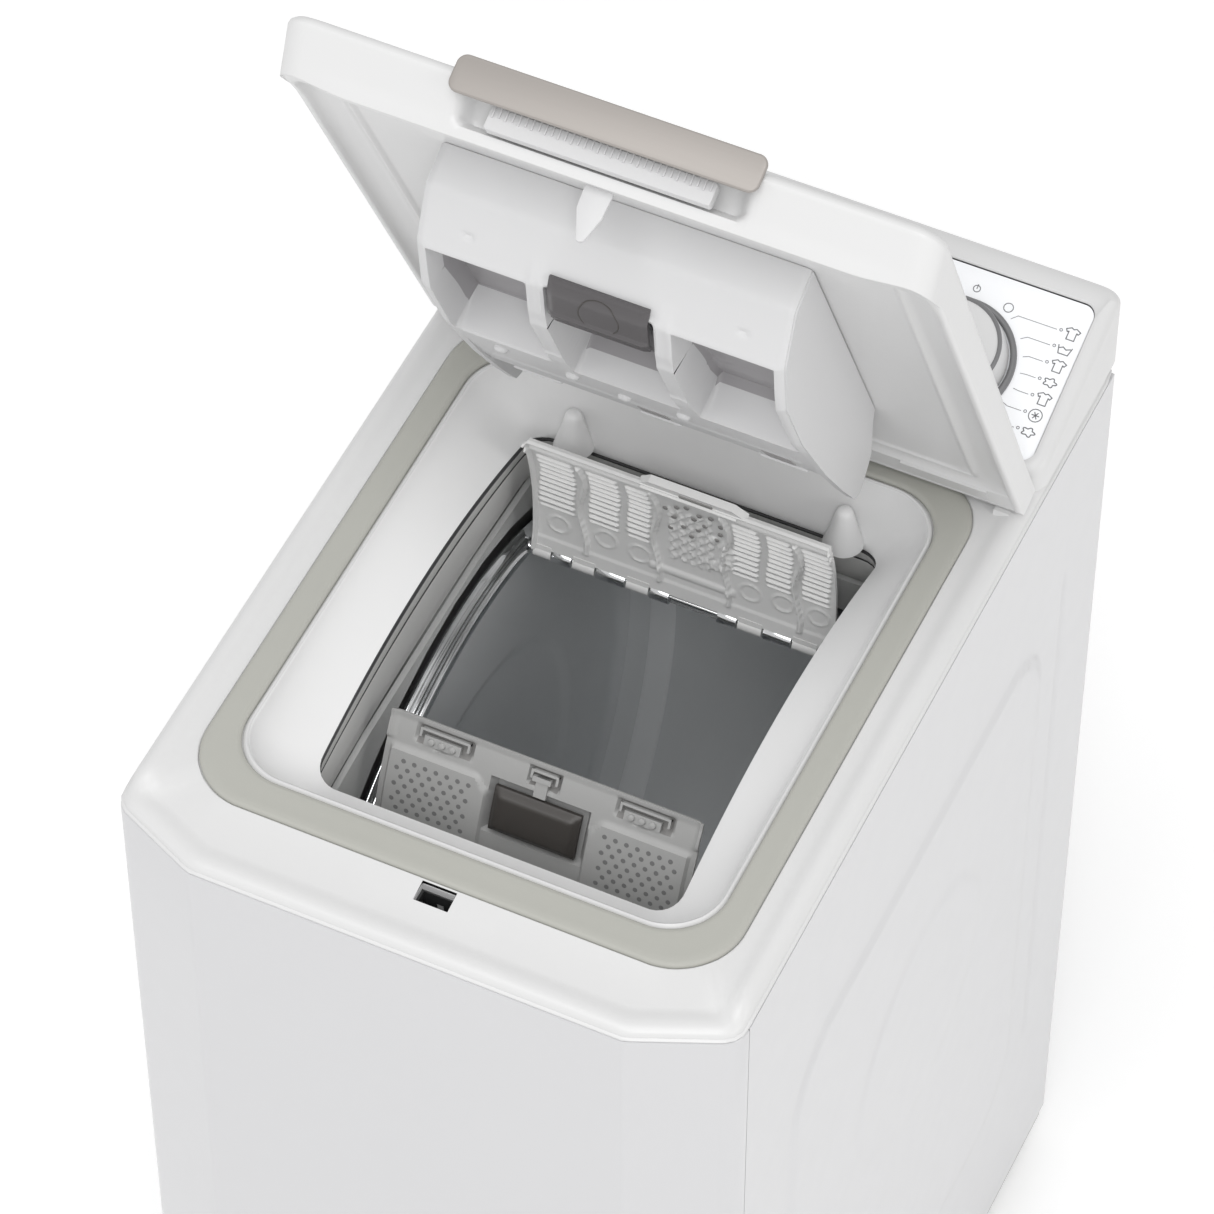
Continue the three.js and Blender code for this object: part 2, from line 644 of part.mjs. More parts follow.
function controlBoard() {
  const board = box(-170, 60, 196, 276, 839, 841);
  const parts = [box(-160, -130, 230, 262, 840.5, 850), box(-90, -60, 235, 255, 840.5, 852),
    cylinder('z', 9, 840.5, 853, [-25, 245], 16), box(10, 45, 225, 260, 840.5, 849)];
  return union(board, parts);
}

// ================================================================ lid
function lidOuter() {
  const profile = [
    [12, 0], [404, 0], [410, -7.5], [420, -7.5], [LID_U, 20], [LID_U - 3, 25], [425, LID_V],
    [220, LID_V - 0.5], [60, 23.5], [LID_AXIS_U, LID_AXIS_V + 10.5],
    ...arc(LID_AXIS_U, LID_AXIS_V, 10.5, 100, 250, 8),
  ];
  const inside = [
    [15.5, -30], [418, -30], [418, -8.2], [LID_U - 4, 19], [LID_U - 6, 22.4], [424, LID_V - 2.6],
    [220, LID_V - 3.1], [60, 20.9], [18, 19.5], [15.5, 16],
  ];
  const plan = fillet([[-LID_X, -20, 0], [LID_X, -20, 0], [LID_X, LID_U + 2, 15],
    [-LID_X, LID_U + 2, 15]], 5).map(([x, u]) => [x, -u]).reverse();
  const planInside = fillet([[-LID_X + 2.6, -30, 0], [LID_X - 2.6, -30, 0],
    [LID_X - 2.6, LID_U - 1, 12.5], [-LID_X + 2.6, LID_U - 1, 12.5]], 5)
    .map(([x, u]) => [x, -u]).reverse();
  const drop = extrudeY([
    [60, -210], [60, 210], [0, 210], [0, 190], [-7.5, 150], [-7.5, -150], [0, -190], [0, -210],
  ].reverse(), -500, 50);
  const solid = lidExtrude(profile, -LID_X, LID_X).intersect(extrudeZ(plan, -40, 60))
    .intersect(drop);
  const recess = lidBox(-90, 90, 425, 460, -30, 17);
  const recessWall = lidBox(-92.6, 92.6, 422.4, 460, -30, 19.6);
  const cavity = lidExtrude(inside, -200, 200).intersect(extrudeZ(planInside, -60, 60))
    .subtract(recessWall);
  const pinBore = cylinder('x', 3.4, -210, 210, [-LID_AXIS_U, LID_AXIS_V], 16);
  const notches = [lidBox(-190.5, -177.5, -10, 17, -5, 30), lidBox(177.5, 190.5, -10, 17, -5, 30)];
  return placeLid(solid.subtract(union(cavity, recess, pinBore, notches)));
}

function lidLiner() {
  // flat plate with a raised pocket that clears the catch of the open rear flap
  const pocket = lidBox(-62, 62, 56, 100, 1, 9.5).subtract(lidBox(-60, 60, 58, 98, 0, 7));
  const plate = lidBox(-194.6, 194.6, 19, 415, 1, 3.5).subtract(lidBox(-60, 60, 58, 98, 0, 7))
    .add(pocket);
  const wall = union(
    lidBox(-194.6, -192.6, 19, 415, 1, 14), lidBox(192.6, 194.6, 19, 415, 1, 14),
    lidBox(-194.6, 194.6, 19, 21, 1, 14), lidBox(-150, 150, 413, 415, -4, 3.5),
  );
  const ridge = extrudeZ(roundedRect(-163, 163, -388, -34, 30), -2, 1.5)
    .subtract(extrudeZ(roundedRect(-158, 158, -383, -39, 26), -5, 5));
  const ribs = [];
  for (const x of [-140, 140]) ribs.push(lidBox(x - 1.2, x + 1.2, 60, 370, 3, 12));
  for (const u of [120, 250]) ribs.push(lidBox(-190, 190, u - 1.2, u + 1.2, 3, 12));
  return placeLid(union(plate, wall, ridge, ribs));
}

function lidHandle() {
  const plate = extrudeY(
    roundedRect(10, 33, -93, 93, 5).map(([z, x]) => [z, x]), -444.8, -LID_U - GAP);
  const hook = lidBox(-84, 84, 436, 442, LID_V + 0.4, 33);
  return placeLid(union(plate, hook));
}

function handleComb() {
  const bar = lidBox(-68, 68, 425.4, 428, 2, 14);
  const teeth = [];
  for (let i = 0; i < 23; i += 1) {
    const x = -66 + i * 6;
    teeth.push(lidBox(x - 1.5, x + 1.5, 427.5, 432, 3, 12));
  }
  return placeLid(union(bar, teeth));
}

function lidStriker() {
  const plate = extrudeY([
    [0.6, -9], [0.6, 9], [-22, 8], [-38, 3], [-38, -1], [-20, -8],
  ].reverse(), -412.2, -409.2).translate([1, 0, 0]);
  const hole = lidBox(-3, 5, 405, 420, -28, -20);
  return placeLid(plate.subtract(hole));
}

function lidHingePin() {
  return cylinder('x', 3, -194, 194, [LID_AXIS_Y, LID_AXIS_Z], 16);
}

function dispenserBody() {
  const outer = [[352, 0.6], [350, -20], [324, -46], [286, -59], [225, -60], [150, -51],
    [118, -46], [112, 0.6]];
  const body = lidExtrude(outer.slice().reverse(), -113, 113);
  const cheekL = lidExtrude([[130, 0.6], [130, -48], [92, -42], [62, -32], [60, 0.6]].reverse(),
    -113, -108);
  const cheekR = cheekL.mirror([1, 0, 0]);
  // three pockets that open towards the front edge of the lid, plus a hollow above them
  const pocket = (x0, x1) => lidExtrude([
    [360, -40], [326, -40], [326, -26], [236, -30], [236, -54], [280, -56], [360, -59.5],
  ], x0, x1);
  const pockets = union(pocket(-109, -42), pocket(-39, 39), pocket(42, 109));
  const back = lidExtrude([[346, 3], [344, -16], [324, -22], [226, -26], [226, -56], [150, -47],
    [121, -42], [115, 3]].reverse(), -110, 110);
  const dividers = union(lidBox(-42, -39, 112, 352, -62, 0), lidBox(39, 42, 112, 352, -62, 0));
  const hollow = back.subtract(dividers);
  const vents = [];
  for (const x of [-85, -25, 25, 85]) vents.push(lidBox(x - 12, x + 12, 160, 172, -70, -30));
  return placeLid(union(body.subtract(union(hollow, pockets)), cheekL, cheekR)
    .subtract(union(vents)));
}

function softenerCap() {
  // pull-out cap over the mouth of the middle pocket
  const plate = lidExtrude([[329, -42], [331, -41], [343, -40], [330, -58.5], [327, -58.5]].reverse(),
    -31, 31);
  const tongue = lidBox(-30, 30, 262, 330, -45, -42);
  return placeLid(union(plate, tongue));
}

// ================================================================ tub and drum
function tubHalf(side) {
  const outer = union(
    cylinder('x', TUB_R + TUB_WALL, 0.2, TUB_HALF + TUB_WALL, [AXIS_Y, AXIS_Z], 40),
    box(0.2, 126, -62, 62, 206, 300),
    box(0.2, 122, NECK_Y0 - 4, NECK_Y1 + 4, 600, 751),
  );
  const inner = union(
    cylinder('x', TUB_R, -1, TUB_HALF, [AXIS_Y, AXIS_Z], 40),
    box(-1, 122, -58, 58, 210, 300),
    box(-1, NECK_X, NECK_Y0, NECK_Y1, 600, 760),
  );
  const neckTop = extrudeX([
    [-240, 770], [-240, 740], [-190, 740], [-110, 747.5], [40, 747.5], [128, 740], [240, 740],
    [240, 770],
  ].reverse(), -1, 140);
  const flange = cylinder('x', TUB_R + TUB_WALL + 8, 0.2, 5, [AXIS_Y, AXIS_Z], 40)
    .subtract(cylinder('x', TUB_R + 1, -1, 8, [AXIS_Y, AXIS_Z], 40))
    .subtract(box(-1, 10, NECK_Y0 - 3, NECK_Y1 + 3, 600, 800))
    .subtract(box(-1, 10, -60, 60, 190, 300));
  const lug = box(TUB_HALF + 3, 183, AXIS_Y - 14, AXIS_Y + 14, 650, 658)
    .subtract(cylinder('z', 3.2, 640, 670, [172, AXIS_Y], 12));
  const bore = cylinder('x', 30, 100, 200, [AXIS_Y, AXIS_Z], 20);
  let half = union(outer.subtract(inner), flange, lug).subtract(union(bore, neckTop));
  if (side > 0) {
    const spout = cylinder('z', 20, 186, 214, [70, -20], 16);
    half = union(half, spout).subtract(cylinder('z', 17, 180, 216, [70, -20], 16));
  } else {
    half = half.mirror([1, 0, 0]);
    half = half.subtract(box(-130, -110, -27, 27, 216, 232));
  }
  return half;
}

function drumShell() {
  const tube = cylinder('x', DRUM_R, -DRUM_HALF, DRUM_HALF, [AXIS_Y, AXIS_Z], 36)
    .subtract(cylinder('x', DRUM_R - 2, -130, 130, [AXIS_Y, AXIS_Z], 36));
  const a0 = DOOR_CENTRE - DOOR_HALF;
  const a1 = DOOR_CENTRE + DOOR_HALF;
  const opening = sector(150, 300, a0 - 1.7, a1 + 1.7, -DOOR_X, DOOR_X, 6);
  const rails = [];
  for (const s of [-1, 1]) {
    const x0 = s > 0 ? DOOR_X : -DOOR_X - 5;
    rails.push(sector(DRUM_R - 4, DRUM_R + 4, a0 - 2.4, a1 + 2.4, x0, x0 + 5, 8));
  }
  const bores = [a0, a1].map((a) => cylinder('x', 2.2, -108, 108, drumPoint(a, DRUM_R), 12));
  return union(tube.subtract(opening), rails).subtract(union(bores));
}

function drumEnd(side) {
  const disc = cylinder('x', DRUM_R - 2.4, DRUM_HALF - 5, DRUM_HALF - 3, [AXIS_Y, AXIS_Z], 36)
    .subtract(cylinder('x', 20, 90, 140, [AXIS_Y, AXIS_Z], 16));
  const rim = cylinder('x', DRUM_R - 2.4, DRUM_HALF - 8, DRUM_HALF - 3, [AXIS_Y, AXIS_Z], 36)
    .subtract(cylinder('x', DRUM_R - 4.3, 80, 140, [AXIS_Y, AXIS_Z], 36));
  const dish = cylinder('x', 150, DRUM_HALF - 3.1, DRUM_HALF + 1, [AXIS_Y, AXIS_Z], 28, 140)
    .subtract(cylinder('x', 148, DRUM_HALF - 6, DRUM_HALF - 1, [AXIS_Y, AXIS_Z], 28, 138))
    .subtract(cylinder('x', 20, 90, 140, [AXIS_Y, AXIS_Z], 16));
  const open = cylinder('x', 147, DRUM_HALF - 8, DRUM_HALF - 1.5, [AXIS_Y, AXIS_Z], 28, 138);
  const end = union(disc.subtract(open), rim, dish);
  return side > 0 ? end : end.mirror([1, 0, 0]);
}

function lifter(angle) {
  // hollow paddle on the drum wall, seen from inside as a rounded ridge
  const [y, z] = drumPoint(angle, DRUM_R - 3);
  const profile = [[-34, -2.2], [-20, 16], [-8, 44], [0, 50], [8, 44], [20, 16], [34, -2.2],
    [28, -2.2], [17, 13], [6, 41], [0, 45.5], [-6, 41], [-17, 13], [-28, -2.2]];
  const body = extrudeX(profile.slice().reverse(), -103, 103);
  const caps = union(
    extrudeX(profile.slice(0, 7).reverse(), -103, -101),
    extrudeX(profile.slice(0, 7).reverse(), 101, 103),
  );
  const trim = cylinder('x', DRUM_R - 2.5, -110, 110, [AXIS_Y, AXIS_Z], 36);
  return union(body, caps).rotate([180 - angle, 0, 0]).translate([0, y, z]).intersect(trim);
}

function openFlap(solid, hingeAngle, degrees) {
  const [y, z] = drumPoint(hingeAngle, DRUM_R);
  return rotateAbout(solid, y, z, degrees);
}

function flapRear() {
  const a1 = DOOR_CENTRE + DOOR_HALF;
  const a0 = a1 - REAR_FLAP_SPAN;
  const skin = sector(DRUM_R - 2.5, DRUM_R, a0, a1 - 1.6, -FLAP_X, FLAP_X, 5);
  const ribs = [];
  for (let i = 0; i < 5; i += 1) {
    const a = a0 + 1 + i * 6;
    ribs.push(sector(DRUM_R - 9, DRUM_R - 2.3, a, a + 0.6, -FLAP_X + 8, FLAP_X - 8, 1));
  }
  for (const x of [-96, -48, 0, 46, 94]) {
    ribs.push(sector(DRUM_R - 9, DRUM_R - 2.3, a0 + 1, a1 - 3, x, x + 2, 3));
  }
  const latch = sector(DRUM_R - 2.4, DRUM_R + 1.5, a0 - 1.5, a0 + 2, -46, 46, 2);
  const knuckles = [];
  const [hy, hz] = drumPoint(a1, DRUM_R);
  for (const x of [-92, -46, 24, 70]) {
    knuckles.push(cylinder('x', 4.4, x, x + 22, [hy, hz], 10));
    knuckles.push(sector(DRUM_R - 2.5, DRUM_R, a1 - 2.4, a1 - 0.4, x, x + 22, 1));
  }
  const bore = cylinder('x', 2.3, -120, 120, [hy, hz], 12);
  const flap = union(skin, ribs, latch, knuckles).subtract(bore);
  return openFlap(flap, a1, -REAR_FLAP_OPEN);
}

function flapFront() {
  const a0 = DOOR_CENTRE - DOOR_HALF;
  const a1 = a0 + FRONT_FLAP_SPAN;
  const skin = sector(DRUM_R - 2.5, DRUM_R, a0 + 1.6, a1, -FLAP_X, FLAP_X, 5);
  const pads = [
    sector(DRUM_R - 0.2, DRUM_R + 1.6, a0 + 4, a1 - 6, -FLAP_X + 4, -34, 3),
    sector(DRUM_R - 0.2, DRUM_R + 1.6, a0 + 4, a1 - 6, 34, FLAP_X - 4, 3),
  ];
  const lip = sector(DRUM_R - 5, DRUM_R - 2.3, a1 - 5, a1, -FLAP_X, FLAP_X, 2);
  const windows = [];
  for (const x of [-66, 0, 66]) {
    const w = x === 0 ? 10 : 18;
    windows.push(sector(200, 260, a1 - 3.6, a1 - 1.4, x - w, x + w, 1));
  }
  const well = sector(DRUM_R - 30, DRUM_R + 10, a1 - 13, a1 - 5.4, -29, 29, 3);
  const knuckles = [];
  const [hy, hz] = drumPoint(a0, DRUM_R);
  for (const x of [-92, -46, 24, 70]) {
    knuckles.push(cylinder('x', 4.4, x, x + 22, [hy, hz], 10));
    knuckles.push(sector(DRUM_R - 2.5, DRUM_R, a0 + 0.4, a0 + 2.4, x, x + 22, 1));
  }
  const bore = cylinder('x', 2.3, -120, 120, [hy, hz], 12);
  const flap = union(skin, pads, lip, knuckles).subtract(union(windows, well, bore));
  return openFlap(flap, a0, FRONT_FLAP_OPEN);
}

function flapButton() {
  const a0 = DOOR_CENTRE - DOOR_HALF;
  const a1 = a0 + FRONT_FLAP_SPAN;
  const key = sector(DRUM_R - 2, DRUM_R + 6, a1 - 12.85, a1 - 5.55, -28.4, 28.4, 3);
  return openFlap(key, a0, FRONT_FLAP_OPEN);
}

function hingeRod(angle) {
  const [y, z] = drumPoint(angle, DRUM_R);
  return cylinder('x', 1.9, -107.5, 107.5, [y, z], 12);
}

function shaft(side) {
  const end = side > 0 ? 160 : 174;
  const hub = cylinder('x', 46, DRUM_HALF + 1.4, DRUM_HALF + 5, [AXIS_Y, AXIS_Z], 16);
  const boss = cylinder('x', 19, DRUM_HALF - 4, DRUM_HALF + 14, [AXIS_Y, AXIS_Z], 14);
  const journal = cylinder('x', 12, DRUM_HALF + 2, end, [AXIS_Y, AXIS_Z], 14);
  const s = union(hub, boss, journal);
  return side > 0 ? s : s.mirror([1, 0, 0]);
}

function bearing(side) {
  const out = TUB_HALF + TUB_WALL + GAP;
  const flange = cylinder('x', 52, out, out + 6, [AXIS_Y, AXIS_Z], 18);
  const sleeve = cylinder('x', 29.4, TUB_HALF - 4, out + 6, [AXIS_Y, AXIS_Z], 16);
  const bore = cylinder('x', 12.4, 100, 200, [AXIS_Y, AXIS_Z], 16);
  const b = union(flange, sleeve).subtract(bore);
  return side > 0 ? b : b.mirror([1, 0, 0]);
}

function drumPulley() {
  const c = [AXIS_Y, AXIS_Z];
  const rim = cylinder('x', 138, -170, -160, c, 30).subtract(cylinder('x', 132, -180, -150, c, 30));
  const lips = union(
    cylinder('x', 142.5, -171, -169.5, c, 30).subtract(cylinder('x', 132, -180, -150, c, 30)),
    cylinder('x', 142.5, -160.5, -159, c, 30).subtract(cylinder('x', 132, -180, -150, c, 30)),
  );
  const hub = cylinder('x', 26, -171, -158, c, 20);
  const spokes = [];
  for (let i = 0; i < 5; i += 1) {
    const bar = box(-168, -163, -7, 7, 20, 134);
    spokes.push(bar.rotate([i * 72, 0, 0]).translate([0, AXIS_Y, AXIS_Z]));
  }
  return union(rim, lips, hub, spokes).subtract(cylinder('x', 12.3, -200, -100, c, 16));
}

const MOTOR_Y = 108;
const MOTOR_Z = 132;
const MOTOR_PULLEY_R = 14;
const PULLEY_R = 138.5;

function driveBelt() {
  const path = (grow) => {
    const r1 = PULLEY_R + grow;
    const r2 = MOTOR_PULLEY_R + grow;
    const dy = MOTOR_Y - AXIS_Y;
    const dz = MOTOR_Z - AXIS_Z;
    const d = Math.hypot(dy, dz);
    const along = THREE.MathUtils.radToDeg(Math.atan2(dz, dy));
    const wrap = THREE.MathUtils.radToDeg(Math.acos((r1 - r2) / d));
    return [
      ...arc(AXIS_Y, AXIS_Z, r1, along + wrap, along + 360 - wrap, 30),
      ...arc(MOTOR_Y, MOTOR_Z, r2, along - wrap, along + wrap, 8),
    ];
  };
  return extrudeX(path(2.6), -168.8, -161.2).subtract(extrudeX(path(0.2), -180, -150));
}

function motorPulley() {
  const c = [MOTOR_Y, MOTOR_Z];
  const core = cylinder('x', MOTOR_PULLEY_R, -169.5, -160.5, c, 24);
  const lips = union(cylinder('x', 17.5, -171, -169.4, c, 24), cylinder('x', 17.5, -160.6, -159, c, 24));
  return union(core, lips).subtract(cylinder('x', 6.3, -200, -100, c, 16));
}

function motor() {
  const c = [MOTOR_Y, MOTOR_Z];
  const body = cylinder('x', 58, -120, 0, c, 24);
  const caps = union(cylinder('x', 46, -132, -119, c, 16), cylinder('x', 46, -1, 14, c, 16));
  const axle = cylinder('x', 6, -173, -130, c, 16);
  const fins = [];
  for (let i = 0; i < 6; i += 1) {
    fins.push(box(-110, -10, 56, 61, -3, 3).rotate([i * 60 + 30, 0, 0]).translate([0, ...c]));
  }
  const bracket = union(box(-100, -92, 92, 124, 185, 199), box(-30, -22, 92, 124, 185, 199));
  return union(body, caps, axle, fins, bracket);
}

function counterweightFront() {
  const block = sector(TUB_R + TUB_WALL + 8.5, 289, -116, -66, -112, 112, 10);
  const boltHoles = [];
  for (const x of [-90, 90]) {
    boltHoles.push(cylinder('y', 7, -320, -200, [x, AXIS_Z], 16));
  }
  return block.subtract(union(boltHoles));
}

function counterweightSide() {
  const c = [AXIS_Y, AXIS_Z];
  const x0 = TUB_HALF + TUB_WALL + 0.5;
  const disc = cylinder('x', 205, x0, x0 + 34, c, 40).subtract(cylinder('x', 60, 100, 200, c, 24));
  const lower = box(100, 200, -300, 300, 200, AXIS_Z - 30);
  const holes = [];
  for (const y of [-120, 136]) holes.push(cylinder('x', 8, 100, 200, [y, 400], 16));
  return disc.intersect(lower).subtract(union(holes));
}

function suspensionSpring(side) {
  const points = [];
  const x = side * 172;
  const z0 = 668;
  const turns = 8;
  points.push([x - 9, AXIS_Y, 645], [x - 4, AXIS_Y, 643], [x, AXIS_Y, 647], [x, AXIS_Y, 660]);
  for (let i = 0; i <= turns * 6; i += 1) {
    const a = (2 * Math.PI * i) / 6;
    points.push([x + 10 * Math.cos(a), AXIS_Y + 10 * Math.sin(a), z0 + (i * 118) / (turns * 6)]);
  }
  points.push([x, AXIS_Y, z0 + 126], [x, AXIS_Y, 811], [x - 4, AXIS_Y, 815], [x - 9, AXIS_Y, 813]);
  return sweep(points, 1.7, 4);
}

function damper(side) {
  const x = side * 105;
  const y = -120;
  const tube = cylinder('z', 12, 44.5, 150, [x, y], 20);
  const rod = cylinder('z', 5, 149, 236, [x, y], 14);
  const eye = cylinder('x', 11, x - 6, x + 6, [y, 242], 18);
  return union(tube, rod, eye);
}

function heater() {
  const rodPath = [
    [-135, -14, 224], [-20, -14, 224], [96, -14, 224], [106, -10, 224], [110, 0, 224],
    [106, 10, 224], [96, 14, 224], [-20, 14, 224], [-135, 14, 224],
  ];
  const plug = box(-134, -118, -26, 26, 217, 231);
  const flange = box(-134, -126.5, -30, 30, 212.5, 233);
  return union(sweep(rodPath, 3.4, 8), plug, flange);
}

function drainPump() {
  const c = [-196, 74];
  const chamber = cylinder('x', 32, 52, 92, c, 16);
  const filterTube = cylinder('y', 27, -262, -196, [76, 74], 14);
  const motorCase = cylinder('x', 26, 91, 150, c, 14);
  const inlet = cylinder('z', 13, 96, 130, [76, -190], 16);
  const outlet = cylinder('x', 10, 34, 54, [-186, 80], 14);
  const cap = cylinder('y', 31, -272, -261, [76, 74], 14);
  const grip = box(50, 102, -280, -270, 70, 78);
  return union(chamber, filterTube, motorCase, inlet, outlet, cap, grip);
}

function sumpHose() {
  const path = [[70, -20, 185.5], [70, -20, 176], [70, -30, 163], [72, -70, 158],
    [75, -150, 158], [76, -178, 154], [76, -190, 142], [76, -190, 130.5]];
  return sweep(path, 18, 10, 15);
}

function inletValve() {
  const body = box(112, 148, 244, 270, 752, 790);
  const thread = cylinder('y', 13, 269, 297, [130, 770], 24);
  const coil = cylinder('z', 12, 789, 812, [130, 257], 20);
  const spout = cylinder('y', 9, 232, 246, [130, 764], 18);
  return union(body, thread, coil, spout);
}

// ================================================================ assembly
add('base_frame', baseFrame(), 'midGrey');
add('side_panel_left', sidePanel(-1), 'white');
add('side_panel_right', sidePanel(1), 'white');
add('front_panel', frontPanel(), 'white');
add('rear_panel', rearPanel(), 'zinc');
add('top_cover', topCover(), 'whitePlastic');
add('opening_seal', openingSeal(), 'bandGrey');
add('throat_gasket', throatGasket(), 'darkGrey');
add('door_lock', doorLock(), 'black');
add('lock_bolt', lockBolt(), 'paleGrey');
add('foot_front_left', foot(-160, -228), 'black');
add('foot_front_right', foot(160, -228), 'black');
add('foot_rear_left', foot(-160, 245), 'black');
add('foot_rear_right', foot(160, 245), 'black');

add('console_body', consoleBody(), 'whitePlastic');
add('console_fascia', consoleFascia(), 'whitePlastic');
add('knob_bezel', knobBezel(), 'midGrey');
add('program_knob', programKnob(), 'whitePlastic');
add('start_button', consoleButton(-150), 'paleGrey');
add('option_button_a', consoleButton(-110), 'whitePlastic');
add('option_button_b', consoleButton(-70), 'whitePlastic');
add('control_board', controlBoard(), 'boardGreen');

add('lid_outer', lidOuter(), 'whitePlastic');
add('lid_liner', lidLiner(), 'whitePlastic');
add('lid_handle', lidHandle(), 'champagne');
add('handle_comb', handleComb(), 'whitePlastic');
add('lid_striker', lidStriker(), 'paleGrey');
add('lid_hinge_pin', lidHingePin(), 'steel');
add('dispenser_body', dispenserBody(), 'whitePlastic');
add('softener_cap', softenerCap(), 'midGrey');

add('tub_left', tubHalf(-1), 'tubGrey');
add('tub_right', tubHalf(1), 'tubGrey');
add('drum_shell', drumShell(), 'steel');
add('drum_end_left', drumEnd(-1), 'steel');
add('drum_end_right', drumEnd(1), 'steel');
add('lifter_front', lifter(-90), 'paleGrey');
add('lifter_rear', lifter(150), 'paleGrey');
add('flap_rear', flapRear(), 'paleGrey');
add('flap_front', flapFront(), 'paleGrey');
add('flap_button', flapButton(), 'darkGrey');
add('hinge_rod_rear', hingeRod(DOOR_CENTRE + DOOR_HALF), 'steel');
add('hinge_rod_front', hingeRod(DOOR_CENTRE - DOOR_HALF), 'steel');
add('shaft_left', shaft(-1), 'steel');
add('shaft_right', shaft(1), 'steel');
add('bearing_left', bearing(-1), 'castMetal');
add('bearing_right', bearing(1), 'castMetal');
add('drum_pulley', drumPulley(), 'castMetal');
add('drive_belt', driveBelt(), 'black');
add('motor', motor(), 'castMetal');
add('motor_pulley', motorPulley(), 'steel');
add('counterweight_front', counterweightFront(), 'concrete');
add('counterweight_side', counterweightSide(), 'concrete');
add('spring_left', suspensionSpring(-1), 'steel');
add('spring_right', suspensionSpring(1), 'steel');
add('damper_left', damper(-1), 'darkGrey');
add('damper_right', damper(1), 'darkGrey');
add('heater', heater(), 'steel');
add('drain_pump', drainPump(), 'midGrey');
add('sump_hose', sumpHose(), 'black');
add('inlet_valve', inletValve(), 'midGrey');

export default root;
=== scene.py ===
import math

import bmesh
import bpy
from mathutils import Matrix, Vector


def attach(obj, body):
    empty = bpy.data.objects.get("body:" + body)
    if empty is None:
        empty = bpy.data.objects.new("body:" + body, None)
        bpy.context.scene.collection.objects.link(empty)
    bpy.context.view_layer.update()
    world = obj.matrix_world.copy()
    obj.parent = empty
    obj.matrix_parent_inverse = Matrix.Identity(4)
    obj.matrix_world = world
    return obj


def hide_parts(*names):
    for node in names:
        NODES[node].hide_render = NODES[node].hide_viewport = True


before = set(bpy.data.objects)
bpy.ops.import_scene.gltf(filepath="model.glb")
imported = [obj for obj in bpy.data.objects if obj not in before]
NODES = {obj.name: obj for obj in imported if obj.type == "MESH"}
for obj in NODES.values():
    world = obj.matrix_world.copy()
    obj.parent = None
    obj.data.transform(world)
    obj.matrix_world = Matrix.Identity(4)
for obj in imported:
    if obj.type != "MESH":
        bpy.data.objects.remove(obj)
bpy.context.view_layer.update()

# ------------------------------------------------------------------ camera, light, floor
CAMERA_AT = Vector((0.9812, -2.1043, 3.6796))
CAMERA_AZIMUTH = 25.25
CAMERA_ELEVATION = 51.03
CAMERA_LENS = 182.43


def make_camera():
    data = bpy.data.cameras.new("camera")
    data.lens = CAMERA_LENS
    data.sensor_width = 36.0
    camera = bpy.data.objects.new("camera", data)
    bpy.context.scene.collection.objects.link(camera)
    a = math.radians(CAMERA_AZIMUTH)
    e = math.radians(CAMERA_ELEVATION)
    back = Vector((math.sin(a) * math.cos(e), -math.cos(a) * math.cos(e), math.sin(e)))
    camera.location = CAMERA_AT
    camera.rotation_mode = "QUATERNION"
    camera.rotation_quaternion = (-back).to_track_quat("-Z", "Y")
    data.clip_end = 100
    bpy.context.scene.camera = camera


def area_light(name, at, target, size, power, colour=(1, 1, 1)):
    data = bpy.data.lights.new(name, "AREA")
    data.shape = "DISK"
    data.size = size
    data.energy = power
    data.color = colour
    light = bpy.data.objects.new(name, data)
    bpy.context.scene.collection.objects.link(light)
    light.location = at
    way = Vector(target) - Vector(at)
    light.rotation_euler = way.to_track_quat("-Z", "Y").to_euler()


def make_studio():
    scene = bpy.context.scene
    scene.view_settings.view_transform = "Standard"
    world = bpy.data.worlds.new("studio")
    scene.world = world
    world.use_nodes = True
    sky = world.node_tree.nodes["Background"]
    sky.inputs["Color"].default_value = (1.0, 1.0, 1.0, 1)
    sky.inputs["Strength"].default_value = 0.66
    area_light("overhead", (0.1, -1.3, 4.2), (0, 0, 0.8), 2.6, 52)
    area_light("front_left", (-3.2, -2.6, 2.2), (0, 0, 0.7), 1.8, 8)
    area_light("right", (3.4, -0.8, 2.4), (0, 0, 0.7), 1.6, 17, (1.0, 0.98, 0.96))
    area_light("camera_side", (1.3, -2.7, 3.7), (0, 0, 0.7), 0.9, 26)
    mesh = bpy.data.meshes.new("floor")
    shape = bmesh.new()
    bmesh.ops.create_grid(shape, x_segments=8, y_segments=8, size=12)
    shape.to_mesh(mesh)
    shape.free()
    floor = bpy.data.objects.new("floor", mesh)
    scene.collection.objects.link(floor)
    white = surface("floor_white", (0.97, 0.97, 0.97), 0.9, mottle=0.004)
    glow = white.node_tree.nodes["Principled BSDF"]
    glow.inputs["Emission Color"].default_value = (1, 1, 1, 1)
    glow.inputs["Emission Strength"].default_value = 0.16
    mesh.materials.append(white)


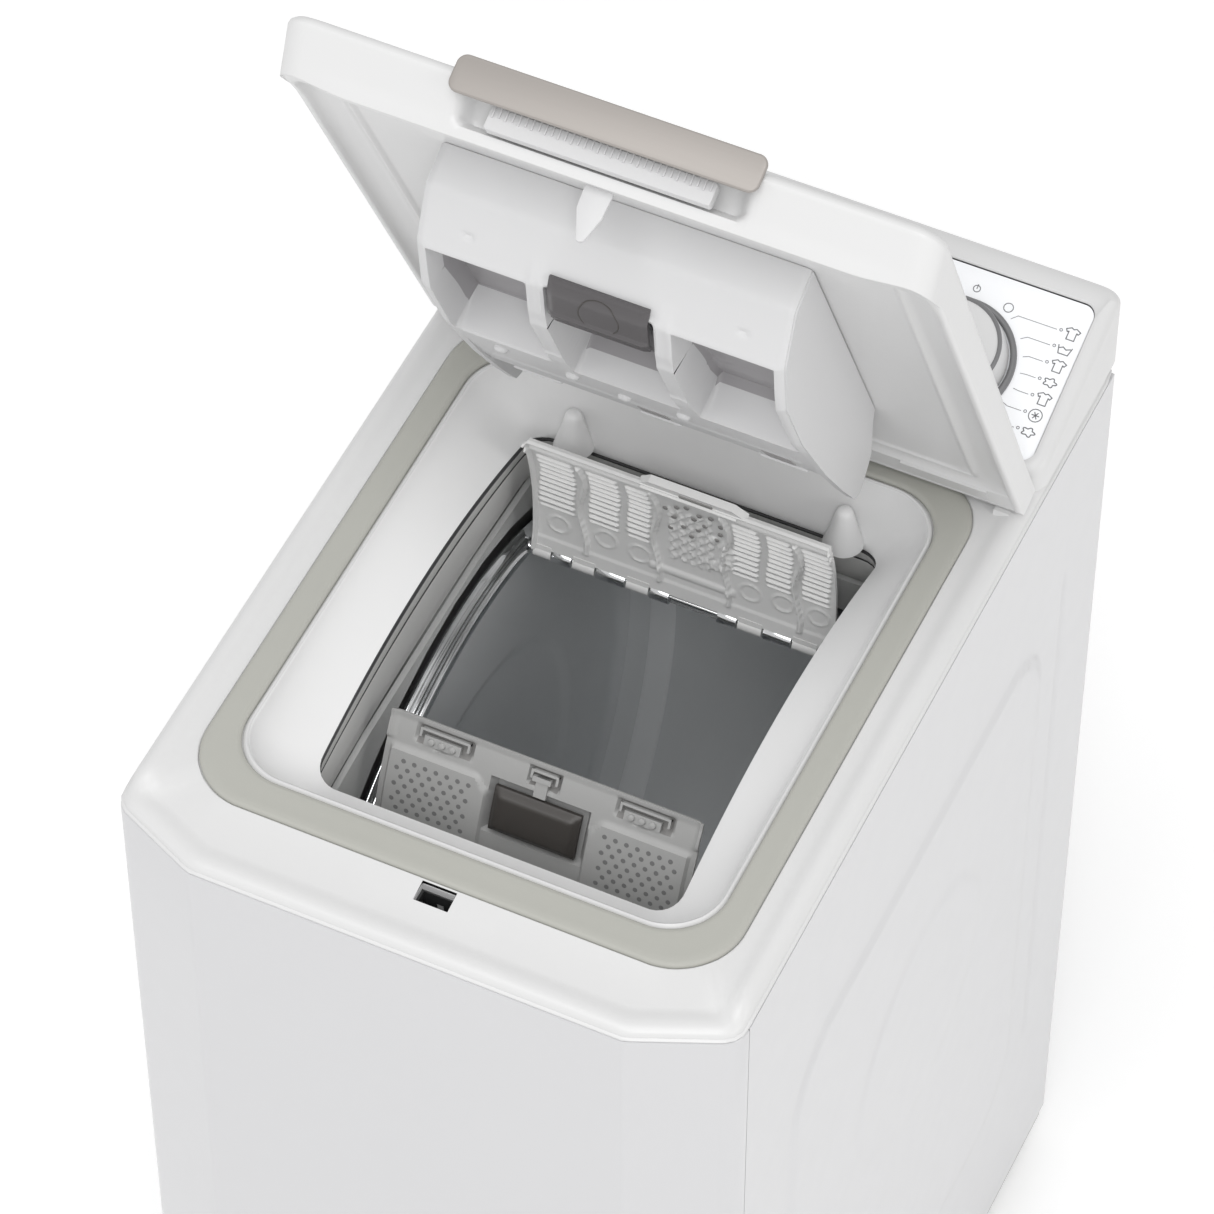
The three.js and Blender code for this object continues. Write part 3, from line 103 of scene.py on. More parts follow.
# ------------------------------------------------------------------ materials
def surface(name, colour, rough=0.4, metal=0.0, mottle=0.02, grain=0.0, grain_scale=900.0,
            stretch=(1, 1, 1), coat=0.0, patchy=0.04):
    """Procedural finish: broad tone changes, patchy roughness and a fine surface grain."""
    m = bpy.data.materials.new(name)
    m.use_nodes = True
    tree = m.node_tree
    shader = tree.nodes["Principled BSDF"]
    shader.inputs["Metallic"].default_value = metal
    shader.inputs["Coat Weight"].default_value = coat
    shader.inputs["Coat Roughness"].default_value = 0.15
    coords = tree.nodes.new("ShaderNodeTexCoord")
    scaled = tree.nodes.new("ShaderNodeMapping")
    scaled.inputs["Scale"].default_value = stretch
    tree.links.new(coords.outputs["Object"], scaled.inputs["Vector"])

    def noise(scale, detail):
        node = tree.nodes.new("ShaderNodeTexNoise")
        node.inputs["Scale"].default_value = scale
        node.inputs["Detail"].default_value = detail
        tree.links.new(scaled.outputs["Vector"], node.inputs["Vector"])
        return node.outputs["Fac"]
    tone = tree.nodes.new("ShaderNodeMix")
    tone.data_type = "RGBA"
    tone.inputs[6].default_value = (*[c * (1 - mottle) for c in colour], 1)
    tone.inputs[7].default_value = (*[min(1.0, c * (1 + mottle)) for c in colour], 1)
    tree.links.new(noise(9.0, 4.0), tone.inputs[0])
    tree.links.new(tone.outputs[2], shader.inputs["Base Color"])
    dull = tree.nodes.new("ShaderNodeMapRange")
    dull.inputs["To Min"].default_value = max(0.03, rough - patchy)
    dull.inputs["To Max"].default_value = min(1.0, rough + patchy)
    tree.links.new(noise(grain_scale * 0.12, 3.0), dull.inputs["Value"])
    tree.links.new(dull.outputs["Result"], shader.inputs["Roughness"])
    if grain:
        bump = tree.nodes.new("ShaderNodeBump")
        bump.inputs["Strength"].default_value = grain
        bump.inputs["Distance"].default_value = 0.0002
        tree.links.new(noise(grain_scale, 2.0), bump.inputs["Height"])
        tree.links.new(bump.outputs["Normal"], shader.inputs["Normal"])
    return m


PAINT = surface("white_enamel", (0.60, 0.60, 0.61), 0.34, grain=0.12, grain_scale=420, coat=0.25,
                mottle=0.008)
PLASTIC = surface("white_plastic", (0.67, 0.67, 0.67), 0.36, grain=0.08, grain_scale=1500, mottle=0.008)
# the cover's white plastic made lighter for the throat: painted light offsetting the throat's shade
THROAT_PAINTED_LIGHT = surface("throat_plastic_painted_light", (0.80, 0.80, 0.80), 0.4, grain=0.08, grain_scale=1500, mottle=0.008)
SATIN = surface("satin_white_plastic", (0.61, 0.61, 0.615), 0.5, grain=0.15, grain_scale=2200,
                mottle=0.01)
BAND = surface("grey_seal", (0.42, 0.42, 0.385), 0.62, grain=0.2, grain_scale=1800, mottle=0.03)
BELLOWS = surface("bellows_rubber", (0.045, 0.045, 0.046), 0.55, grain=0.3, grain_scale=900, mottle=0.1)
FLAP_GREY = surface("flap_grey_plastic", (0.42, 0.42, 0.415), 0.48, grain=0.15, grain_scale=1600)
PAD_GREY = surface("pad_grey_plastic", (0.42, 0.42, 0.415), 0.55, grain=0.2, grain_scale=1600)
FLAP_PALE = surface("flap_pale_plastic", (0.74, 0.74, 0.735), 0.45, grain=0.15, grain_scale=1600)
# dark grey for recess floors and openings: painted shade
WELL_PAINTED_SHADE = surface("recess_painted_shade", (0.26, 0.255, 0.25), 0.6, grain=0.1)
# dark dots for the pad's dimples: painted shade in place of hollows
DIMPLE_PAINTED_SHADE = surface("dimple_painted_shade", (0.20, 0.20, 0.20), 0.7, grain=0.1)
POCKET_GREY = surface("pocket_grey", (0.33, 0.32, 0.33), 0.4, grain=0.1)
CLEAR = surface("clear_lens", (0.75, 0.76, 0.76), 0.08, grain=0.0, mottle=0.01)
CLEAR.node_tree.nodes["Principled BSDF"].inputs["Transmission Weight"].default_value = 0.8
KEY_DARK = surface("dark_key_plastic", (0.055, 0.050, 0.046), 0.42, grain=0.2, grain_scale=1500,
                   mottle=0.06)
CAP_GREY = surface("cap_grey_plastic", (0.085, 0.08, 0.083), 0.38, grain=0.12, grain_scale=1500)
LABEL_GREY = surface("label_grey", (0.36, 0.35, 0.35), 0.5, grain=0.05)
CHAMPAGNE = surface("champagne_anodised", (0.35, 0.325, 0.305), 0.46, metal=0.3, grain=0.2,
                    grain_scale=700, stretch=(0.05, 1, 1), patchy=0.06)
STEEL = surface("drum_steel", (0.76, 0.775, 0.785), 0.42, metal=0.3, grain=0.12, grain_scale=600,
                stretch=(1, 0.08, 0.08), patchy=0.06, mottle=0.05)
# drum band steel coloured lighter than the drum itself: painted reflection
STEEL_PAINTED_SHEEN = surface("drum_steel_painted_sheen", (0.92, 0.93, 0.94), 0.36, metal=0.3, grain=0.1, grain_scale=600,
                     stretch=(1, 0.08, 0.08), patchy=0.06, mottle=0.04)
CHROME = surface("bright_steel", (0.80, 0.81, 0.82), 0.12, metal=1.0, patchy=0.03, mottle=0.02)
ZINC = surface("galvanised_sheet", (0.52, 0.54, 0.56), 0.42, metal=0.85, grain=0.2, grain_scale=160,
               patchy=0.12, mottle=0.09)
CAST = surface("cast_aluminium", (0.42, 0.43, 0.44), 0.5, metal=0.9, grain=0.6, grain_scale=700,
               mottle=0.06)
CONCRETE = surface("ballast_concrete", (0.42, 0.41, 0.385), 0.92, grain=1.0, grain_scale=260, mottle=0.12)
TUB = surface("tub_plastic", (0.50, 0.505, 0.50), 0.58, grain=0.3, grain_scale=900, mottle=0.03)
TUB_PALE = surface("pale_tub_plastic", (0.60, 0.60, 0.59), 0.45, grain=0.12, grain_scale=1200,
                   mottle=0.02)
BLACK = surface("black_plastic", (0.03, 0.03, 0.031), 0.5, grain=0.25, grain_scale=1200, mottle=0.08)
RUBBER = surface("black_rubber", (0.022, 0.022, 0.023), 0.72, grain=0.4, grain_scale=900, mottle=0.1)
BOARD = surface("circuit_board", (0.035, 0.15, 0.065), 0.45, grain=0.5, grain_scale=300, mottle=0.15)
COPPER = surface("heater_tube", (0.55, 0.46, 0.40), 0.3, metal=1.0, grain=0.2, mottle=0.12)
PANEL_WHITE = surface("console_white", (0.90, 0.91, 0.93), 0.3, grain=0.03, grain_scale=2000,
                      mottle=0.004)
INK = surface("printed_ink", (0.16, 0.16, 0.17), 0.5, grain=0.05)
RING_GREY = surface("knob_ring_grey", (0.20, 0.20, 0.205), 0.35, metal=0.2, grain=0.1)

FINISHES = (
    (TUB, "base_frame tub_left tub_right"),
    (PAINT, "side_panel_left side_panel_right front_panel"),
    (ZINC, "rear_panel"),
    (PLASTIC, "top_cover console_body program_knob lid_outer lid_liner"),
    (BAND, "opening_seal"),
    (BELLOWS, "throat_gasket"),
    (BLACK, "door_lock foot_front_left foot_front_right foot_rear_left foot_rear_right damper_left "
     "damper_right drain_pump inlet_valve"),
    (SATIN, "lock_bolt start_button option_button_a option_button_b handle_comb lid_striker "
     "dispenser_body lifter_front lifter_rear"),
    (PANEL_WHITE, "console_fascia"),
    (RING_GREY, "knob_bezel"),
    (BOARD, "control_board"),
    (CHAMPAGNE, "lid_handle"),
    (CHROME, "lid_hinge_pin hinge_rod_rear hinge_rod_front shaft_left shaft_right motor_pulley "
     "spring_left spring_right"),
    (CAP_GREY, "softener_cap"),
    (STEEL, "drum_shell drum_end_left drum_end_right"),
    (FLAP_GREY, "flap_rear flap_front"),
    (KEY_DARK, "flap_button"),
    (CAST, "bearing_left bearing_right drum_pulley motor"),
    (RUBBER, "drive_belt sump_hose"),
    (CONCRETE, "counterweight_front counterweight_side"),
    (COPPER, "heater"),
)
FINISH = {node: finish for finish, nodes in FINISHES for node in nodes.split()}


def finish_cad_nodes():
    for name, node in NODES.items():
        node.data.materials.clear()
        node.data.materials.append(FINISH[name])
        node.data.shade_smooth()
        node.data.set_sharp_from_angle(angle=math.radians(32))


# ------------------------------------------------------------------ shapes, in millimetres
AXIS_Y, AXIS_Z = 8.0, 490.0        # drum axis
DRUM_R = 240.0
COVER_Z = 835.0
COVER_FOOT_Z = 824.3               # where the top cover meets the panels
HALF_W = 200.0                     # half width over the side panels
SHEET = 1.2
SKIN_X = 199.9                     # plain outside of the side skins
FRONT_Y, CORNER_Y = -297.5, -270.6  # flat middle of the front, and the chamfer's rear end
CHAMFER_X = 139.0                  # half width of the flat middle of the front
REAR_Y = 286.0
HINGE_REAR = 19.5                  # flap hinge angles from straight up, positive to the rear
HINGE_FRONT = -39.5
FRONT_FLAP_OPEN, REAR_FLAP_OPEN = 43, -80
LID_TILT = math.radians(65.25)
LID_AXIS_Y, LID_AXIS_Z = 150, 850
LID_AXIS_U, LID_AXIS_V = 5.0, 10.7  # the same axis in lid coordinates
CONSOLE_FRONT_Y, CONSOLE_FRONT_Z = 163, 853
CONSOLE_TOP_Y, CONSOLE_TOP_Z = 279, 894.5
CONSOLE_TILT = math.atan2(CONSOLE_TOP_Z - CONSOLE_FRONT_Z, CONSOLE_TOP_Y - CONSOLE_FRONT_Y)
DIAL_X, DIAL_S = 118, 56           # centre of the programme dial on the console


def smooth(a, b, x):
    t = max(0.0, min(1.0, (x - a) / (b - a)))
    return t * t * (3 - 2 * t)


def on_lid(p):
    """(x, towards the front edge, up through the lid) to the machine."""
    x, u, v = p
    du, dv = u - LID_AXIS_U, v - LID_AXIS_V
    return (x, LID_AXIS_Y - du * math.cos(LID_TILT) + dv * math.sin(LID_TILT),
            LID_AXIS_Z + du * math.sin(LID_TILT) + dv * math.cos(LID_TILT))


def on_console(p):
    """(x, up the slope, off the face) to the machine."""
    x, s, h = p
    return (x, CONSOLE_FRONT_Y + s * math.cos(CONSOLE_TILT) - h * math.sin(CONSOLE_TILT),
            CONSOLE_FRONT_Z + s * math.sin(CONSOLE_TILT) + h * math.cos(CONSOLE_TILT))


def on_drum(p):
    """(x, degrees from straight up, radius) to the machine."""
    x, angle, r = p
    a = math.radians(angle)
    return (x, AXIS_Y + r * math.sin(a), AXIS_Z + r * math.cos(a))


def open_flap(hinge, degrees):
    """Turns a closed flap point about its hinge line."""
    _, hy, hz = on_drum((0, hinge, DRUM_R))
    c, s = math.cos(math.radians(degrees)), math.sin(math.radians(degrees))

    def place(p):
        x, y, z = on_drum(p)
        dy, dz = y - hy, z - hz
        return (x, hy + dy * c - dz * s, hz + dy * s + dz * c)
    return place


def plain(p):
    return p


class Shape:
    """Collects solids and sheets, then becomes one piece."""

    def __init__(self):
        self.verts = []
        self.faces = []
        self.kinds = []

    def add(self, verts, faces, place=plain, kind=0):
        at = len(self.verts)
        self.verts += [place(v) for v in verts]
        self.faces += [tuple(i + at for i in f) for f in faces]
        self.kinds += [kind] * len(faces)

    def loft(self, loops, place=plain, kind=0, closed=True, ring=False, ends=False, kinds=None):
        n = len(loops[0])
        verts = [p for loop in loops for p in loop]
        rows = len(loops) if ring else len(loops) - 1
        span = n if closed else n - 1
        for j in range(rows):
            jj = (j + 1) % len(loops)
            faces = [(j * n + i, j * n + (i + 1) % n, jj * n + (i + 1) % n, jj * n + i)
                     for i in range(span)]
            if j == 0:
                self.add(verts, faces, place, kinds[0] if kinds else kind)
                base = len(self.verts) - len(verts)
            else:
                self.faces += [tuple(i + base for i in f) for f in faces]
                self.kinds += [kinds[j] if kinds else kind] * len(faces)
        if ends:
            self.faces.append(tuple(base + i for i in range(n))[::-1])
            self.faces.append(tuple(base + (len(loops) - 1) * n + i for i in range(n)))
            self.kinds += [kinds[0] if kinds else kind] * 2

    def prism(self, outline, a, b, axis="z", place=plain, kind=0):
        def at(p, d):
            if axis == "z":
                return (p[0], p[1], d)
            return (d, p[0], p[1]) if axis == "x" else (p[0], d, p[1])
        self.loft([[at(p, a) for p in outline], [at(p, b) for p in outline]], place, kind,
                  ends=True)

    def block(self, x0, x1, y0, y1, z0, z1, place=plain, kind=0):
        self.prism([(x0, y0), (x1, y0), (x1, y1), (x0, y1)], z0, z1, "z", place, kind)

    def disc(self, at, radii, heights, steps=24, place=plain, kind=0, ends=True):
        """Turned solid about the local third axis: radii at heights."""
        loops = [[(at[0] + r * math.cos(2 * math.pi * k / steps),
                   at[1] + r * math.sin(2 * math.pi * k / steps), h) for k in range(steps)]
                 for r, h in zip(radii, heights)]
        self.loft(loops, place, kind, ends=ends)

    def rod(self, y, z, r, x0, x1, steps=16):
        self.loft([[(x, y + r * math.cos(2 * math.pi * k / steps),
                     z + r * math.sin(2 * math.pi * k / steps)) for k in range(steps)]
                   for x in (x0, x1)], ends=True)

    def tube(self, path, r, sides=8, place=plain, kind=0, ends=True):
        path = [Vector(p) for p in path]
        normal = None
        loops = []
        for i, p in enumerate(path):
            t = (path[min(i + 1, len(path) - 1)] - path[max(i - 1, 0)]).normalized()
            if normal is None:
                up = Vector((0, 0, 1)) if abs(t.z) < 0.9 else Vector((1, 0, 0))
                normal = up.cross(t).normalized()
            normal = (normal - t * normal.dot(t)).normalized()
            side = t.cross(normal)
            loops.append([tuple(p + normal * r * math.cos(2 * math.pi * k / sides)
                                + side * r * math.sin(2 * math.pi * k / sides))
                          for k in range(sides)])
        self.loft(loops, place, kind, ends=ends)

    def piece(self, name, finishes, body, hides=(), bevel=0.0, segments=2, sharp=40, windows=()):
        mesh = bpy.data.meshes.new(name)
        mesh.from_pydata([tuple(c * 0.001 for c in v) for v in self.verts], [], self.faces)
        for finish in finishes:
            mesh.materials.append(finish)
        for face, kind in zip(mesh.polygons, self.kinds):
            face.material_index = kind
        shape = bmesh.new()
        shape.from_mesh(mesh)
        bmesh.ops.remove_doubles(shape, verts=shape.verts, dist=2e-6)
        bmesh.ops.recalc_face_normals(shape, faces=shape.faces)
        for window in windows:
            cut_window(shape, *window)
        if bevel:
            edges = [e for e in shape.edges
                     if len(e.link_faces) == 2 and e.calc_face_angle(0) > math.radians(28)]
            bmesh.ops.bevel(shape, geom=edges, offset=bevel * 0.001, segments=segments,
                            profile=0.5, affect="EDGES", clamp_overlap=True)
        shape.to_mesh(mesh)
        shape.free()
        mesh.shade_smooth()
        mesh.set_sharp_from_angle(angle=math.radians(sharp))
        obj = bpy.data.objects.new(name, mesh)
        bpy.context.scene.collection.objects.link(obj)
        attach(obj, body)
        if hides:
            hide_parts(*hides)
        return obj


def cut_window(shape, x0, x1, y0, y1, z_min):
    """Opens a clean rectangular window in the faces above z_min."""
    box = [v * 0.001 for v in (x0, x1, y0, y1)]
    for value, way in ((box[0], 0), (box[1], 0), (box[2], 1), (box[3], 1)):
        near = [f for f in shape.faces
                if f.calc_center_median().z > z_min * 0.001
                and box[0] - 0.03 < f.calc_center_median().x < box[1] + 0.03
                and box[2] - 0.03 < f.calc_center_median().y < box[3] + 0.03]
        geom = set(near)
        for f in near:
            geom.update(f.edges)
            geom.update(f.verts)
        at = Vector((0, 0, 0))
        at[way] = value
        normal = Vector((0, 0, 0))
        normal[way] = 1
        bmesh.ops.bisect_plane(shape, geom=list(geom), plane_co=at, plane_no=normal, dist=1e-7)
    inside = [f for f in shape.faces
              if f.calc_center_median().z > z_min * 0.001
              and box[0] < f.calc_center_median().x < box[1]
              and box[2] < f.calc_center_median().y < box[3]]
    bmesh.ops.delete(shape, geom=inside, context="FACES")


def fillet(corners, steps=6):
    """Polygon corners (x, y, radius) with round corners."""
    out = []
    n = len(corners)
    for i, corner in enumerate(corners):
        x, y = corner[:2]
        r = corner[2] if len(corner) > 2 else 0
        if not r:
            out.append((x, y))
            continue
        here = Vector((x, y))
        a = (Vector(corners[i - 1][:2]) - here).normalized()
        b = (Vector(corners[(i + 1) % n][:2]) - here).normalized()
        half = math.acos(max(-1, min(1, a.dot(b)))) / 2
        reach = r / math.tan(half)
        centre = here + (a + b).normalized() * (r / math.sin(half))
        start, end = here + a * reach - centre, here + b * reach - centre
        for k in range(steps + 1):
            way = start.lerp(end, k / steps).normalized()
            out.append(tuple(centre + way * r))
    return out


def rounded(x0, x1, y0, y1, r, steps=6):
    return fillet([(x0, y0, r), (x1, y0, r), (x1, y1, r), (x0, y1, r)], steps)


def cabinet_outline(inset):
    """Plan of the cabinet with its chamfered front corners, inset all round."""
    slope = math.atan2(CORNER_Y - FRONT_Y, HALF_W - CHAMFER_X)
    cx = CHAMFER_X - inset * math.tan(slope / 2)
    ky = CORNER_Y + inset / math.cos(slope) - inset * math.tan(slope)
    side, front, rear = HALF_W - inset, FRONT_Y + inset, REAR_Y - inset
    r = max(5.0, 16 - inset)
    return fillet([(-side, rear, 3), (-side, ky, r), (-cx, front, 9), (cx, front, 9), (side, ky, r),
                   (side, rear, 3)], 8)


def opening_outline(hx, y0, y1, r, bow=0.0):
    """Rounded rectangle whose front edge bows forward, with closely spaced points."""
    points = []
    for x, y in rounded(-hx, hx, y0, y1, r, 10):
        front = max(0.0, min(1.0, (y0 + 60 - y) / 60))
        points.append((x, y - bow * front * (1 - (x / hx) ** 2)))
    dense = []
    for i, p in enumerate(points):
        q = points[(i + 1) % len(points)]
        count = max(1, int(math.dist(p, q) / 12))
        for k in range(count):
            x = p[0] + (q[0] - p[0]) * k / count
            y = p[1] + (q[1] - p[1]) * k / count
            if p[1] == q[1] == y0 and bow:
                y = y0 - bow * (1 - (x / hx) ** 2)
            dense.append((x, y))
    return dense


COVER_RAYS = 320
COVER_CENTRE = (0.0, -45.0)


def ray_loop(outline, z):
    """The outline seen from the cover's centre, one point for each ray; z may depend on (x, y)."""
    cx, cy = COVER_CENTRE
    loop = []
    for k in range(COVER_RAYS):
        a = 2 * math.pi * (k + 0.5) / COVER_RAYS
        dx, dy = math.cos(a), math.sin(a)
        best = 0.0
        for i, (px, py) in enumerate(outline):
            qx, qy = outline[(i + 1) % len(outline)]
            ex, ey = qx - px, qy - py
            cross = dx * ey - dy * ex
            if abs(cross) < 1e-9:
                continue
            t = ((px - cx) * ey - (py - cy) * ex) / cross
            u = ((px - cx) * dy - (py - cy) * dx) / cross
            if t > best and -1e-6 <= u <= 1 + 1e-6:
                best = t
        x, y = cx + dx * best, cy + dy * best
        loop.append((x, y, z(x, y) if callable(z) else z))
    return loop


# ------------------------------------------------------------------ top cover, seal, throat
def arch(y):
    """Height of the throat's lower edge, which follows the drum."""
    return 812 - (y + 40) ** 2 / 942


def cover_height(top):
    """Height over (x, y): the apron in front of the seal lies lower than the rest."""
    def z(x, y):
        front = 1 - smooth(-262, -248, y)
        return COVER_FOOT_Z + (top - COVER_FOOT_Z) * (1 - 0.45 * front)
    return z


def make_cover():
    cover = Shape()
    edge = [(0.9, 824.4), (0.3, 825.2), (0.2, 826.6), (0.9, 827.8), (1.7, 828.3), (1.8, 829.2),
            (2.2, 831.6), (3.4, 834.2), (5.6, 836.4), (8.5, 837.4), (12, 837.3), (15.5, 836.0),
            (18, 835.2), (21, 835.0)]
    loops = [ray_loop(cabinet_outline(6), 824.4)]
    loops += [ray_loop(cabinet_outline(d), cover_height(z)) for d, z in edge]
    for d in (1.2, 0.5):
        loops.append(ray_loop(opening_outline(173.4 + d, -246.4 - d, 156.4 + d, 40 + d, 6),
                              cover_height(COVER_Z)))
    loops.append(ray_loop(opening_outline(173.4, -246.4, 156.4, 40, 6), COVER_Z - 0.6))
    loops.append(ray_loop(opening_outline(173.2, -246.2, 156.2, 40, 6), COVER_Z - 1.4))
    loops.append(ray_loop(opening_outline(154.6, -224, 136, 36, 2), COVER_Z - 1.4))
    loops.append(ray_loop(opening_outline(154, -223, 135.4, 36, 2), COVER_Z + 0.2))
    loops.append(ray_loop(opening_outline(152.6, -221.8, 133.8, 35, 2), COVER_Z + 1.2))
    steps = 16
    throat = len(loops)
    for k in range(steps + 1):
        t = k / steps
        s = 3 * t * (1 - t) ** 2 * 0.12 + 3 * t * t * (1 - t) * 0.46 + t ** 3
        h = 3 * t * (1 - t) ** 2 * 0.30 + 3 * t * t * (1 - t) * 0.58 + t ** 3
        outline = opening_outline(151.4 - 33.4 * s, -220.6 + 36.6 * s, 132.6 - 10.6 * s,
                                  34 - 18 * s, 2 * (1 - s))
        loops.append(ray_loop(outline, lambda x, y, h=h: 835.6 + (arch(y) - 835.6) * h))
    loops.append(ray_loop(opening_outline(118.6, -184.6, 122.6, 17), lambda x, y: arch(y) - 1.0))
    loops.append(ray_loop(opening_outline(121, -187, 125, 19), lambda x, y: arch(y) - 1.0))
    # throat loops take the lighter copy of the cover plastic: painted light
    cover.loft(loops, kinds=[0] * throat + [1] * (len(loops) - throat))
    for x in (-90, 92):
        cover.disc((x, 119), (13, 11.2, 9.4, 7.8, 6.6, 5.8, 4.9, 3.4, 0.4),
                   (788, 794, 800, 806, 811, 814.5, 817, 818.6, 819.2), 28, kind=1)
    for x in (-184, 184):
        lug = [(140, 834), (160, 834), (158, 838.4), (142, 838.4)]
        cover.prism(lug, x - 5, x + 5, "x")
    slot_walls = ((-10.6, -10, -264.1, -249.9), (12, 12.6, -264.1, -249.9),
                  (-10.6, 12.6, -250.5, -249.9), (-10.6, 12.6, -264.1, -263.5))
    for wall in slot_walls:
        cover.block(*wall, 816, 831.2)
    cover.piece("cover_and_throat", [PLASTIC, THROAT_PAINTED_LIGHT], "cabinet", ["top_cover"], sharp=50,
                windows=[(-10, 12, -263.5, -250.5, 822)])


def make_seal():
    seal = Shape()
    rows = [(173.0, -246.0, 156.0, 40, 6, -1.0), (173.0, -246.0, 156.0, 40, 6, 0.5),
            (172.2, -245.2, 155.2, 39.6, 6, 1.5), (170.6, -243.6, 153.4, 39, 5.8, 2.0),
            (167, -239.5, 149.5, 38, 5.2, 1.9), (161, -232, 143.5, 37, 4, 1.6),
            (157.4, -227.5, 139.4, 36.4, 2.8, 1.9), (155.6, -225.2, 137.4, 36, 2, 1.7),
            (154.8, -224.4, 136.4, 36, 2, 0.6), (154.8, -224.4, 136.4, 36, 2, -1.0)]
    seal.loft([ray_loop(opening_outline(hx, y0, y1, r, bow), COVER_Z + z)
               for hx, y0, y1, r, bow, z in rows], ring=True)
    seal.piece("mouth_seal", [BAND], "cabinet", ["opening_seal"], sharp=60)


def make_bellows():
    """Black lip, pale strip, black groove and pale wall down to the drum."""
    bellows = Shape()
    rows = [(3.2, 0.0, 0), (0.4, 0.0, 0), (-0.6, 0.02, 0), (-0.4, 0.06, 0), (1.0, 0.07, 1),
            (0.6, 0.09, 1), (0.8, 0.24, 1), (1.4, 0.28, 1), (2.2, 0.285, 0), (2.9, 0.295, 0),
            (2.8, 0.315, 0), (1.6, 0.33, 1), (1.2, 0.36, 1), (2.2, 0.75, 1), (3.0, 0.97, 1),
            (4.0, 1.0, 1), (7.0, 1.0, 1)]
    loops = []
    for d, t, _ in rows:
        def z(x, y, t=t):
            top = arch(y) - 1.3
            low = 752.5 - (y + 31) ** 2 / 2400
            return top + (low - top) * t
        loops.append(ray_loop(opening_outline(118 + d, -184 - d - 6 * t, 122 + d + 5 * t, 16 + d), z))
    bellows.loft(loops, kinds=[kind for _, _, kind in rows])
    bellows.piece("throat_bellows", [BELLOWS, TUB_PALE], "cabinet", ["throat_gasket"], sharp=40)


# ------------------------------------------------------------------ drum
def drum_strip(shape, profile, a0, a1, steps, kind=0, ring=False):
    """Sweeps an (x, radius) profile round the drum axis between two angles."""
    loops = [[on_drum((x, a0 + (a1 - a0) * k / steps, r)) for x, r in profile]
             for k in range(steps + 1)]
    shape.loft(loops, closed=ring, kind=kind, ends=ring)


def make_drum_skin():
    """Rolled sheet from flap to flap, with its brushed band in a lighter steel that is a painted
    reflection.
    """
    skin = Shape()
    inner = [(-117 + 234 * k / 59, 237.6) for k in range(60)]
    outline = inner + [(117.6, 238), (118, 240), (-118, 240), (-117.6, 238)]
    drum_strip(skin, outline, HINGE_REAR + 1.7, 360 + HINGE_FRONT - 1.7, 120, ring=True)
    band = [(-95, 237.8), (-94, 236.9), (-92, 236.4), (-79, 236.4), (-77, 236.9), (-76, 237.8)]
    # the band takes the lighter steel: painted reflection
    drum_strip(skin, band, HINGE_REAR + 3, 360 + HINGE_FRONT - 3, 120, kind=1, ring=True)
    skin.piece("drum_skin", [STEEL, STEEL_PAINTED_SHEEN], "drum", ["drum_shell"], sharp=50)


def make_door_rims():
    """Beaded edges beside the flap opening."""
    rims = Shape()
    for s in (-1, 1):
        edge = [(104.2, 235.5), (104.2, 239.4), (104.8, 241.2), (106.4, 242.4), (108.2, 242.0),
                (109.4, 240.6), (110.6, 239.8), (112.4, 239.8), (113.6, 240.8), (114.6, 242.8),
                (116.2, 243.4), (117.6, 242.6), (118.2, 240.8), (118.2, 236), (116, 235.4)]
        drum_strip(rims, [(s * x, r) for x, r in edge], HINGE_FRONT - 2.2, HINGE_REAR + 2.2, 40,
                   ring=True)
    rims.piece("door_rims", [CHROME], "drum", sharp=60)


def make_drum_ends():
    for s, side in ((-1, "left"), (1, "right")):
        end = Shape()
        rows = [(20, 114.6), (60, 114.9), (120, 115.2), (137, 115.6), (143, 114.6), (147, 112.6),
                (152, 112.2), (200, 112.4), (214, 113.2), (222, 114.2), (228, 113.6), (233, 112.6),
                (236.2, 110.4), (237.4, 110.0), (237.5, 117.0), (20, 117.4)]
        loops = [[on_drum((s * x, 3 * k, r)) for k in range(120)] for r, x in rows]
        end.loft(loops, ring=True)
        end.piece("drum_end_plate_" + side, [STEEL], "drum", ["drum_end_" + side], sharp=50)


def make_lifters():
    for name, angle in (("front", -90), ("rear", 150)):
        paddle = Shape()
        rows = []
        for k in range(17):
            w = -1 + k / 8
            rows.append((w * 32, 2 + 46 * (1 - abs(w) ** 1.7) ** 1.3))
        loops = []
        for k in range(21):
            x = -102 + 204 * k / 20
            fade = min(1.0, (102.0 - abs(x)) / 14) ** 0.5
            loops.append([(x, w, 2 + (h - 2) * fade) for w, h in rows])
        a = math.radians(angle)

        def place(p, a=a):
            x, w, h = p
            r = 236.2 - h
            return (x, AXIS_Y + r * math.sin(a) + w * math.cos(a),
                    AXIS_Z + r * math.cos(a) - w * math.sin(a))
        paddle.loft(loops, place, closed=False)
        paddle.loft([[(p[0], p[1], 1.0) for p in loop] for loop in loops], place, closed=False)
        for k in range(7):
            paddle.disc((0, 0), (2.6, 2.6), (0, 1), 12,
                        lambda p, k=k: place((-78 + 26 * k + p[0], p[1], 46.6 + p[2])), kind=1)
        paddle.piece("paddle_" + name, [SATIN, BLACK], "drum", ["lifter_" + name], sharp=50)


